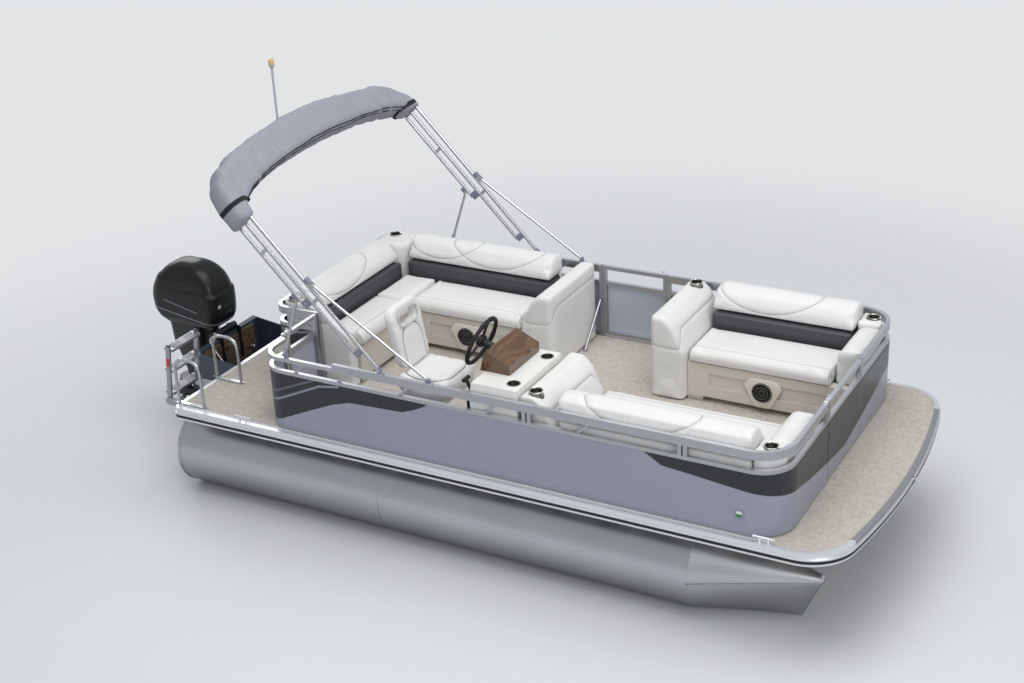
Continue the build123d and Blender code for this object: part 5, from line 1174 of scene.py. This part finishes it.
def make_wheel():
    """Hub cap, spoke covers and grips of the steering wheel."""
    cover, grip = forms(2)
    turned(cover, WHEEL, WHEEL_AXIS, WHEEL_CAP, 32)
    other = WHEEL_AXIS.cross(PORT)
    for degrees in SPOKES:
        turn = math.radians(degrees)
        way = PORT * math.cos(turn) + other * math.sin(turn)
        slab(cover, WHEEL + way * 0.100 + WHEEL_AXIS * 0.005, way, WHEEL_AXIS.cross(way),
             0.125, 0.022, 0.004, 0.002, 0.008)
        for middle in (turn - 0.30, turn + 0.30):
            bar(grip, [WHEEL + (PORT * math.cos(angle) + other * math.sin(angle)) * WHEEL_RADIUS
                       for angle in np.linspace(middle - 0.20, middle + 0.20, 9)], 0.0172, 14)
    piece("wheel_covers", cover, "steering", "black_plastic")
    piece("wheel_grips", grip, "steering", "soft_black")


def make_dash():
    """Dials, switches and key on the dash."""
    bezels, faces, marks, keys = forms(4)
    for place, size in DIALS:
        centre = dash_point(place, 0.098)
        turned(bezels, centre, DASH_FACE, scaled(BEZEL, size), 32)
        turned(faces, centre, DASH_FACE, scaled(DIAL_FACE, size), 32)
        for degrees in range(210, -31, -30):
            angle = math.radians(degrees)
            way = (DASH_UP * math.sin(angle) - PORT * math.cos(angle)) * size
            mark = centre + DASH_FACE * 0.0038
            bar(marks, (mark + way * 0.62, mark + way * 0.76), 0.0008, 6)
        needle = centre + DASH_FACE * 0.0042
        bar(marks, (needle, needle + (PORT * 0.5 + DASH_UP * 0.866) * (size * 0.66)), 0.0011, 6)
        turned(marks, centre, DASH_FACE, scaled(DIAL_CAP, size), 14)
    for step in range(5):
        place = -0.955 + 0.030 * step
        slab(bezels, dash_point(place, 0.034), PORT, DASH_UP, 0.023, 0.036, 0.003, 0.001, 0.003)
        slab(keys, dash_point(place, 0.039) + DASH_FACE * 0.003, PORT, DASH_UP,
             0.014, 0.016, 0.005, 0.002, 0.002)
    lock = dash_point(-0.64, 0.034)
    turned(keys, lock, DASH_FACE, ((0.014, 0.0), (0.014, 0.004), (0.011, 0.006), (0.004, 0.0065)), 20)
    slab(keys, lock + DASH_FACE * 0.006, DASH_UP, DASH_FACE.cross(DASH_UP), 0.022, 0.005, 0.016, 0.002)
    piece("dial_bezels", bezels, "hull", "black_plastic")
    piece("dial_faces", faces, "hull", "dial_white")
    piece("dial_marks", marks, "hull", "soft_black")
    piece("dash_switches", keys, "hull", "seam_grey")


SLOT_DROP = 0.119
SLOT_SQUARENESS = 0.45


def make_helm():
    """Wheel covers and grips, dials, switches, key and the piping of the helm chair's slot."""
    make_wheel()
    make_dash()
    slot_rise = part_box("chair_back")[1].z - SLOT_DROP - DECK
    lean = Vector((-0.095, 0.0, 0.44)).normalized()
    ring = []
    for step in range(48):
        angle = 2.0 * math.pi * step / 48
        across, rise = (math.copysign(abs(way) ** SLOT_SQUARENESS, way)
                        for way in (math.cos(angle), math.sin(angle)))
        ring.append(at(3.038, CHAIR.y + across * 0.121, slot_rise) + lean * (rise * 0.058))
    piping = bmesh.new()
    bar(piping, ring, 0.006, 10, closed=True)
    piece("chair_slot_piping", piping, "helm_chair", "piping_pale")


# Sections of the cowl, upward: height, aft and fore ends, half width and corner radius
COWL = np.array((
    (0.095, 5.940, 5.405, 0.150, 0.085), (0.150, 6.005, 5.364, 0.176, 0.100),
    (0.220, 6.032, 5.352, 0.186, 0.105), (0.320, 6.040, 5.350, 0.190, 0.105),
    (0.420, 6.016, 5.358, 0.186, 0.105), (0.520, 5.960, 5.404, 0.168, 0.100),
    (0.590, 5.880, 5.480, 0.135, 0.090), (0.632, 5.785, 5.570, 0.075, 0.055),
    (0.641, 5.700, 5.650, 0.014, 0.012)))
COWL_PLUG = ((0.018, -0.004), (0.018, 0.004), (0.014, 0.006), (0.004, 0.0065))


def between(table, step):
    """A row of a table at a part step, on a smooth curve through its rows."""
    low = min(int(step), len(table) - 2)
    part = step - low
    before, here, after, onward = (table[min(max(low + shift, 0), len(table) - 1)] for shift in range(-1, 3))
    return 0.5 * (2 * here + (after - before) * part
                  + (2 * before - 5 * here + 4 * after - onward) * part ** 2
                  + (3 * here - before - 3 * after + onward) * part ** 3)


COWL_GROOVE, COWL_GROOVE_WIDTH, COWL_DRAW = 0.455, 0.02, 0.045
COWL_STEPS = 81
COWL_CORNER_STEPS = 12


def cowl_shell():
    """The domed cowl as one smooth closed shell, drawn in a little above its groove."""
    form = bmesh.new()
    rings = []
    for step in np.linspace(0.0, len(COWL) - 1.0, COWL_STEPS):
        rise, aft, fore, half, radius = between(COWL, step)
        long = (aft - fore) / 2
        radius = min(radius, half * 0.98, long * 0.98)
        ring = []
        for quarter, (sign_l, sign_w) in enumerate(QUARTERS):
            for part in range(COWL_CORNER_STEPS + 1):
                angle = math.pi / 2 * (quarter + part / COWL_CORNER_STEPS)
                run = (aft + fore) / 2 - sign_l * (long - radius) - radius * math.cos(angle) - COWL_MIDDLE
                side = sign_w * (half - radius) + radius * math.sin(angle)
                over = (rise - COWL_SLOPE * run - COWL_GROOVE) / COWL_GROOVE_WIDTH
                drawn = 1.0 - COWL_DRAW * min(max(over, 0.0), 1.0)
                ring.append(at(COWL_MIDDLE + run * drawn, side * drawn, rise))
        rings.append(ring)
    skin_rings(form, rings)
    return piece("cowl_shell", form, "outboard", "outboard_black", degrees=50.0)


def make_outboard():
    """Domed cowl with its seam, latch and vents, and the clamp screws of the motor."""
    seam, dark, bolts = forms(3)
    shell = cowl_shell()
    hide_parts("outboard_cowl")
    tilt = Vector((0.16, 0.0, 1.0)).normalized()
    for form, rise, size in ((seam, 0.145, 0.0028), (dark, 0.128, 0.0055)):
        ring = thinned(section(shell.data, at(5.45, 0.0, rise), tilt)[0], 0.014)
        bar(form, ring, size, 8, closed=True)
    slab(dark, at(5.352, 0.0, 0.21), PORT, UP, 0.090, 0.030, 0.010, 0.003, 0.008)
    turned(seam, at(5.352, -0.10, 0.29), AHEAD, COWL_PLUG, 20)
    for sign in (-1.0, 1.0):
        for step in range(5):
            low = at(5.925 - 0.030 * step, sign * 0.150, 0.40)
            bar(dark, (low, low + Vector((0.012, sign * 0.006, 0.05)),
                       low + Vector((0.03, -sign * 0.01, 0.09))), 0.005, 8)
        for drop in (0.06, 0.13, 0.20):
            screw(bolts, at(5.452, sign * 0.128, -drop), PORT * sign, 0.008)
        handle = at(5.335, sign * 0.120, -0.15)
        bar(bolts, (at(5.375, sign * 0.120, -0.15), handle), 0.007, 10)
        bar(bolts, (handle - UP * 0.04, handle + UP * 0.04), 0.006, 10)
        screw(bolts, at(5.408, sign * 0.128, 0.035), PORT * sign, 0.014)
    piece("cowl_seam", seam, "outboard", "seam_grey")
    piece("cowl_trim", dark, "outboard", "drive_black")
    piece("clamp_screws", bolts, "hull", "steel")


LADDER_LEAN = math.radians(7.0)
LADDER_HINGE = at(5.085, -0.96, -0.040)
LADDER_HALF = 0.180
TREADS = (0.070, 0.270, 0.450)


def make_ladder():
    """Tread grips, end caps, bolts and a reflector on the boarding ladder, and screws at the hand rails."""
    way = Vector((math.sin(LADDER_LEAN), 0.0, math.cos(LADDER_LEAN)))
    face = Vector((math.cos(LADDER_LEAN), 0.0, -math.sin(LADDER_LEAN)))
    grips, caps, bolts, red, feet = forms(5)
    for along in TREADS:
        top = LADDER_HINGE + way * (along + 0.0121)
        for step in range(6):
            groove = top + face * (-0.030 + 0.012 * step)
            bar(grips, (groove - PORT * 0.140, groove + PORT * 0.140), 0.0025, 8)
    for out in (-PORT, PORT):
        for along in TREADS:
            screw(bolts, LADDER_HINGE + way * along + out * LADDER_HALF, out, 0.006)
        slab(caps, LADDER_HINGE + way * 0.480 + out * 0.170, face, way.cross(face),
             0.038, 0.020, 0.006, 0.003, 0.005)
        screw(bolts, LADDER_HINGE + out * LADDER_HALF, out, 0.010)
    slab(red, LADDER_HINGE + way * 0.34 - PORT * LADDER_HALF, way, way.cross(PORT),
         0.075, 0.030, 0.003, 0.001, 0.006)
    for side in (-1.195, -0.725):
        for aft in (4.655, 4.81, 4.965):
            screw(feet, at(aft, side, 0.012), UP, 0.005)
    piece("tread_grips", grips, "boarding_ladder", "soft_black")
    piece("stringer_caps", caps, "boarding_ladder", "black_plastic")
    piece("ladder_bolts", bolts, "boarding_ladder", "steel")
    piece("ladder_reflector", red, "boarding_ladder", "red")
    piece("hand_rail_screws", feet, "hull", "steel")


def block_at(form, centre, along, across, length, width, thick, edge=0.004):
    """A rounded block with its middle on a point."""
    normal = Vector(along).normalized().cross(Vector(across).normalized())
    slab(form, Vector(centre) - normal * (thick / 2), along, across, length, width, thick, edge, edge * 2)


LEG_SIDE = 1.207
RAIL_TOP = 0.628
LAMP = ((0.0225, -0.040), (0.0235, -0.034), (0.0235, -0.012), (0.021, -0.002), (0.014, 0.004), (0.004, 0.006))
LAMP_BASE = ((0.013, -0.070), (0.016, -0.062), (0.0245, -0.050), (0.0245, -0.041), (0.020, -0.040))


def make_bimini_fittings():
    """Nylon joint blocks and pins, rail clamps with their screws, and the lamp on the pole."""
    blocks, clamps, pins, screws, lamp, base = forms(6)
    for sign in (-1.0, 1.0):
        side, out = sign * LEG_SIDE, PORT * sign
        for along, face, size in ((0.700, -0.111, 0.060), (0.190, -0.037, 0.046)):
            block_at(blocks, bow_point(along, face, side), LEG_WAY, PORT, size, 0.040, 0.060)
            screw(pins, bow_point(along, face, side + sign * 0.020), out, 0.006)
        for along, face in ((0.786, 0.022), (0.770, -0.168)):
            block_at(blocks, bow_point(along + 0.028, face, side), LEG_WAY, PORT, 0.040, 0.042, 0.030)
            screw(pins, bow_point(along, face + 0.006, side + sign * 0.0175), out, 0.006)
        for aft in (3.017, 2.613) if sign < 0 else (3.017, 2.613, 3.830):
            spot = at(aft, side, RAIL_TOP)
            block_at(clamps, spot + UP * 0.004, AHEAD, PORT, 0.070, 0.036, 0.008)
            for shift in (-0.025, 0.025):
                screw(screws, spot + Vector((shift, 0.0, 0.008)), UP, 0.005)
    low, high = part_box("light_pole")
    top = Vector(((low.x + high.x) / 2, (low.y + high.y) / 2, high.z))
    turned(lamp, top, UP, LAMP)
    turned(base, top, UP, LAMP_BASE)
    piece("bimini_joint_blocks", blocks, "bimini", "nylon")
    piece("rail_clamps", clamps, "hull", "rail_aluminium")
    piece("rail_clamp_screws", screws, "hull", "steel")
    piece("bimini_pins", pins, "bimini", "steel")
    piece("mast_lamp", lamp, "bimini", "amber")
    piece("mast_lamp_base", base, "bimini", "pole_grey")


# Gate latches: name, body, place, rail's direction, lever's root and tip and keeper along it, lengths and width
LATCHES = (
    ("bow_gate_latch", "gate_bow", at(0.020, -0.335, RAIL_TOP), PORT, (0.010, -0.017, -0.060),
     (0.060, 0.034, 0.026)),
    ("port_gate_latch", "gate_port", at(1.895, LEG_SIDE, RAIL_TOP), AHEAD, (-0.010, 0.017, 0.057),
     (0.060, 0.034, 0.026)),
    ("stern_gate_latch", "gate_stern", at(4.055, -0.880, RAIL_TOP), PORT, (0.008, -0.015, -0.050),
     (0.048, 0.030, 0.024)))


def make_fence_fittings():
    """Gate latches and their keepers on the top rails."""
    keepers = bmesh.new()
    for name, body, place, along, (root, tip, keeper), (long, short, wide) in LATCHES:
        across = UP.cross(along)
        latch = bmesh.new()
        slab(latch, place, along, across, long, wide, 0.012, 0.003, 0.005)
        bar(latch, [place + along * shift + UP * rise
                    for shift, rise in ((root, 0.008), (0.0, 0.027), (tip, 0.034))], 0.006, 10)
        slab(keepers, place + along * keeper, along, across, short, wide, 0.010, 0.003, 0.005)
        piece(name, latch, body, "trim_aluminium")
    piece("latch_keepers", keepers, "hull", "trim_aluminium")


TUBE_SIDE, TUBE_RISE, TUBE_RADIUS = 0.890, 0.3255, 0.3205
STEM_RISE, STEM_HALF = 0.394, 0.040
NOSE_STEPS = 12


def make_noses():
    """Plated nose of each pontoon: cone above, flat sides below, meeting at the stem."""
    plates, welds = forms(2)
    start, head, foot = FRONT - 0.684, FRONT + 0.158, FRONT + 0.014
    for side in (-TUBE_SIDE, TUBE_SIDE):
        rings = []
        for part in np.linspace(0.0, 1.0, NOSE_STEPS + 1):
            ring = []
            for angle in np.linspace(0.0, 2.0 * math.pi, 64, endpoint=False):
                wide, tall = math.cos(angle), math.sin(angle)
                low = max(-tall, 0.0)
                root = Vector((start, side + wide * TUBE_RADIUS, TUBE_RISE + tall * TUBE_RADIUS))
                stem = Vector((head + (foot - head) * low, side + wide * STEM_HALF * (1.0 - 0.5 * low),
                               STEM_RISE + max(tall, 0.0) * STEM_HALF - 0.317 * low))
                ring.append(root.lerp(stem, part))
            rings.append(ring)
        for out, share in ((0.010, 0.72), (0.015, 0.36)):
            rings.append([Vector((p.x + out, side + (p.y - side) * share,
                                  p.z - max(p.z - STEM_RISE, 0.0) * (1 - share))) for p in rings[NOSE_STEPS]])
        skin_rings(plates, rings)
        for sign in (-1.0, 1.0):
            root = Vector((start, side + sign * TUBE_RADIUS, TUBE_RISE))
            stem = Vector((head, side + sign * STEM_HALF, STEM_RISE))
            bar(welds, [root.lerp(stem, part) for part in np.linspace(0.0, 1.0, 9)], 0.005, 8)
    piece("pontoon_noses", plates, "hull", "hull_aluminium", degrees=28.0)
    piece("nose_welds", welds, "hull", "hull_aluminium")


# Cable and hoses in the motor well: name, width, finish and route
LEADS = (
    ("rigging_cable", 0.012, "cable_pale", (
        at(4.708, -0.300, -0.250), at(4.770, -0.300, -0.257), at(4.880, -0.300, -0.262),
        at(5.000, -0.298, -0.252), at(5.110, -0.293, -0.212), at(5.210, -0.286, -0.132),
        at(5.300, -0.275, -0.040), at(5.368, -0.253, 0.022), at(5.404, -0.212, 0.038),
        at(5.408, -0.165, 0.035), at(5.408, -0.1285, 0.035))),
    ("fuel_hose", 0.011, "hose_black", (
        at(5.362, -0.1285, -0.020), at(5.360, -0.150, -0.026), at(5.350, -0.180, -0.070),
        at(5.344, -0.205, -0.150), at(5.340, -0.226, -0.245), at(5.332, -0.235, -0.315),
        at(5.312, -0.236, -0.340), at(5.283, -0.235, -0.343))),
    ("tank_hose", 0.011, "hose_black", (
        at(4.797, -0.235, -0.340), at(4.850, -0.237, -0.356), at(4.920, -0.239, -0.366),
        at(5.000, -0.236, -0.366), at(5.080, -0.233, -0.357), at(5.147, -0.235, -0.343))),
)
DRAIN_PLUG = ((0.022, 0.0), (0.022, 0.008), (0.016, 0.011), (0.010, 0.020), (0.003, 0.021))
PRIMER_BULB = ((0.008, -0.070), (0.013, -0.062), (0.024, -0.042), (0.0285, 0.0), (0.024, 0.042),
               (0.013, 0.062), (0.008, 0.070))
TRIM_LIP = 0.004


def make_deck_fittings():
    """Noses, trim and cleat screws, and the board, bolts, plug, bulb, cable and hoses in the motor well."""
    make_noses()
    screws, board, bolts, bulb = forms(4)
    for sign in (-1.0, 1.0):
        for step in range(19):
            screw(screws, at(0.05 + 0.26 * step, sign * 1.266, TRIM_LIP), UP, 0.0035)
        for aft in (0.100, 0.144, 4.256, 4.300):
            screw(screws, at(aft, sign * 1.252, 0.038), UP, 0.0045)
    for step in range(-4, 5):
        side = 0.22 * step
        screw(screws, at(-0.470 + side * side / 11.4, side, TRIM_LIP), UP, 0.0035)
    slab(board, at(5.3745, 0.0, -0.165), PORT, UP, 0.660, 0.270, 0.012, 0.003, 0.010)
    for side in (-0.24, -0.06, 0.06, 0.24):
        for rise in (-0.10, -0.22):
            screw(bolts, at(5.362, side, rise), AHEAD, 0.012)
    turned(bolts, at(5.362, 0.285, -0.235), AHEAD, DRAIN_PLUG, 18)
    turned(bulb, at(5.215, -0.235, -0.343), AHEAD, PRIMER_BULB, 24)
    piece("trim_screws", screws, "hull", "steel")
    piece("transom_board", board, "hull", "board_brown")
    piece("transom_bolts", bolts, "hull", "steel")
    piece("primer_bulb", bulb, "hull", "hose_black")
    for row in LEADS:
        lead(*row)


def lead(name, width, paint, route):
    """A cable or hose in the motor well, fixed at both of its ends."""
    line = bpy.data.curves.new(name, "CURVE")
    line.dimensions = "3D"
    spline = line.splines.new("NURBS")
    spline.points.add(len(route) - 1)
    for point, place in zip(spline.points, route):
        point.co = (*place, 1.0)
    spline.order_u = 3
    spline.use_endpoint_u = True
    spline.resolution_u = 12
    thing = bpy.data.objects.new(name, line)
    bpy.context.scene.collection.objects.link(thing)
    path = bpy.data.meshes.new_from_object(thing)
    bpy.data.meshes.remove(path)
    line.bevel_depth = width / 2
    line.bevel_resolution = 3
    line.use_fill_caps = True
    line.materials.append(PAINTS[paint])
    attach(thing, "hull")


def make_floor(scene):
    """Pale floor that fades into an even tone away from the boat."""
    half = scene.boat_sizes.floor
    form = bmesh.new()
    form.faces.new([form.verts.new((x * half, y * half, 0.0)) for x, y in QUARTERS])
    floor = new_object("studio_floor", form)
    ground = Finish("studio_floor", 0.9, 0.0, 0.0, 0.2)
    place = ground.place
    ground.paint(place.speckle(0.3, 3.0).tint((0.66, 0.67, 0.69), (0.69, 0.70, 0.71)))
    nodes, links = ground.tree.nodes, ground.tree.links
    even = nodes.new("ShaderNodeEmission")
    even.inputs["Color"].default_value = (0.76, 0.775, 0.79, 1.0)
    mixer = nodes.new("ShaderNodeMixShader")
    far = place.node("ShaderNodeVectorMath", {"operation": "LENGTH"}, {0: place}, "Value").ramp(3.6, 8.5)
    seen = None
    for ray in ("Is Camera Ray", "Is Glossy Ray", "Is Transmission Ray"):
        kind = place.node("ShaderNodeLightPath", None, None, ray)
        seen = kind if seen is None else seen.math("MAXIMUM", kind)
    for index, start in enumerate(((far * seen).socket, ground.shader.outputs[0], even.outputs[0])):
        links.new(start, mixer.inputs[index])
    links.new(mixer.outputs[0], nodes["Material Output"].inputs[0])
    floor.data.materials.append(ground.material)


SKY = (0.92, 0.95, 1.0, 1.0)
SKY_STRENGTH = 0.50
SOFTBOXES = (
    ("overhead_softbox", (1.5, -1.0, 9.0), (0.0, 0.0, 0.8), (9.0, 7.0), 560.0),
    ("bow_softbox", (9.5, -7.5, 6.0), (1.0, 0.0, 0.9), (5.0, 4.0), 330.0),
    ("stern_softbox", (-9.0, 5.0, 5.5), (-1.0, 0.0, 1.0), (5.0, 4.0), 200.0))


def make_lights(scene):
    """An even sky and three softboxes."""
    world = bpy.data.worlds.new("studio")
    scene.world = world
    world.use_nodes = True
    sky = world.node_tree.nodes["Background"]
    sky.inputs["Color"].default_value = SKY
    sky.inputs["Strength"].default_value = SKY_STRENGTH
    for name, place, aim, size, power in SOFTBOXES:
        lamp = bpy.data.lights.new(name, "AREA")
        lamp.shape = "RECTANGLE"
        lamp.size, lamp.size_y = size
        lamp.energy = power
        thing = bpy.data.objects.new(name, lamp)
        scene.collection.objects.link(thing)
        thing.location = place
        thing.rotation_euler = (Vector(aim) - Vector(place)).to_track_quat("-Z", "Y").to_euler()


PHOTO_LENS = 56.74
PHOTO_PLACE = at(-2.89946, -9.6525, 5.6041)
PHOTO_RIGHT = Vector((0.87773, 0.47694, -0.04597))
PHOTO_DOWN = Vector((0.16503, -0.39099, -0.90548))
PHOTO_AHEAD = Vector((-0.44983, 0.78718, -0.4219))


def make_stage():
    """Floor, light and the photo's camera."""
    scene = bpy.context.scene
    scene.view_settings.view_transform = "Standard"
    make_floor(scene)
    make_lights(scene)
    lens = bpy.data.cameras.new("photo_view")
    lens.lens = PHOTO_LENS
    lens.sensor_width = 36.0
    lens.sensor_fit = "HORIZONTAL"
    lens.clip_end = 400.0
    camera = bpy.data.objects.new("photo_view", lens)
    scene.collection.objects.link(camera)
    turn = Matrix((PHOTO_RIGHT, -PHOTO_DOWN, -PHOTO_AHEAD)).transposed().to_4x4()
    camera.matrix_world = Matrix.Translation(PHOTO_PLACE) @ turn
    scene.camera = camera


NODE_SHARP = 32.0


def make_finishes():
    """Finishes of every solid that stays in view, with smooth shading over its rounded faces."""
    mix_paints(bpy.context.scene.boat_colours)
    for paint, nodes in NODE_PAINT.items():
        for node in nodes.split():
            wear(NODES[node], paint)
            smooth(NODES[node].data, NODE_SHARP)


class Step:
    """What every operator here does: one function of this file."""

    def execute(self, context):
        self.work()
        return {"FINISHED"}


class BOAT_OT_stage(Step, bpy.types.Operator):
    """Pale floor, soft studio light and the camera"""

    bl_idname = "boat.stage"
    bl_label = "Stage, light and camera"
    work = staticmethod(make_stage)


class BOAT_OT_finishes(Step, bpy.types.Operator):
    """Finishes of every solid that stays in view"""

    bl_idname = "boat.finishes"
    bl_label = "Finishes of the solids"
    work = staticmethod(make_finishes)


class BOAT_OT_cushions(Step, bpy.types.Operator):
    """Seats, backs, arms, bolsters and bands as stuffed, sewn covers"""

    bl_idname = "boat.cushions"
    bl_label = "Cushions"
    work = staticmethod(make_cushions)


class BOAT_OT_boot(Step, bpy.types.Operator):
    """Canvas boot over the folded top"""

    bl_idname = "boat.boot"
    bl_label = "Canvas boot"
    work = staticmethod(make_boot)


class BOAT_OT_speakers(Step, bpy.types.Operator):
    """Speaker pods, cones, rings and ribs, and the cup rims"""

    bl_idname = "boat.speakers"
    bl_label = "Speakers and cup rims"
    work = staticmethod(make_speakers)


class BOAT_OT_helm(Step, bpy.types.Operator):
    """Wheel covers, dials, switches and the piping of the helm chair's slot"""

    bl_idname = "boat.helm"
    bl_label = "Helm"
    work = staticmethod(make_helm)


class BOAT_OT_outboard(Step, bpy.types.Operator):
    """Cowl, its seam, vents and latch, and the clamp screws of the motor"""

    bl_idname = "boat.outboard"
    bl_label = "Outboard"
    work = staticmethod(make_outboard)


class BOAT_OT_ladder(Step, bpy.types.Operator):
    """Grips, caps, bolts and reflector of the boarding ladder, and the hand rails' screws"""

    bl_idname = "boat.ladder"
    bl_label = "Ladder"
    work = staticmethod(make_ladder)


class BOAT_OT_bimini_fittings(Step, bpy.types.Operator):
    """Joint blocks, rail clamps and the mast lamp"""

    bl_idname = "boat.bimini_fittings"
    bl_label = "Bimini fittings"
    work = staticmethod(make_bimini_fittings)


class BOAT_OT_fence_fittings(Step, bpy.types.Operator):
    """Gate latches and their keepers"""

    bl_idname = "boat.fence_fittings"
    bl_label = "Fence fittings"
    work = staticmethod(make_fence_fittings)


class BOAT_OT_deck_fittings(Step, bpy.types.Operator):
    """Trim screws, the pontoons' noses, and the board, cable and hoses in the motor well"""

    bl_idname = "boat.deck_fittings"
    bl_label = "Deck fittings"
    work = staticmethod(make_deck_fittings)


class BOAT_PT_panel(bpy.types.Panel):
    """Lists the boat's pieces, colours and sizes"""

    bl_label = "Pontoon boat"
    bl_idname = "BOAT_PT_panel"
    bl_space_type = "VIEW_3D"
    bl_region_type = "UI"
    bl_category = "Boat"

    def draw(self, context):
        layout = self.layout
        for step in STEPS:
            layout.operator(step.bl_idname)
        for group in (context.scene.boat_colours, context.scene.boat_sizes):
            column = layout.column()
            for name in group.bl_rna.properties.keys():
                if name not in ("rna_type", "name"):
                    column.prop(group, name)


STEPS = (BOAT_OT_stage, BOAT_OT_finishes, BOAT_OT_cushions, BOAT_OT_boot, BOAT_OT_speakers, BOAT_OT_helm,
         BOAT_OT_outboard, BOAT_OT_ladder, BOAT_OT_bimini_fittings, BOAT_OT_fence_fittings,
         BOAT_OT_deck_fittings)
CLASSES = (BoatColours, BoatSizes, *STEPS, BOAT_PT_panel)


def register():
    for part in CLASSES:
        bpy.utils.register_class(part)
    bpy.types.Scene.boat_colours = bpy.props.PointerProperty(type=BoatColours)
    bpy.types.Scene.boat_sizes = bpy.props.PointerProperty(type=BoatSizes)


def unregister():
    del bpy.types.Scene.boat_sizes
    del bpy.types.Scene.boat_colours
    for part in reversed(CLASSES):
        bpy.utils.unregister_class(part)


def main():
    register()
    for step in STEPS:
        group, name = step.bl_idname.split(".")
        getattr(getattr(bpy.ops, group), name)()


if __name__ == "__main__":
    main()
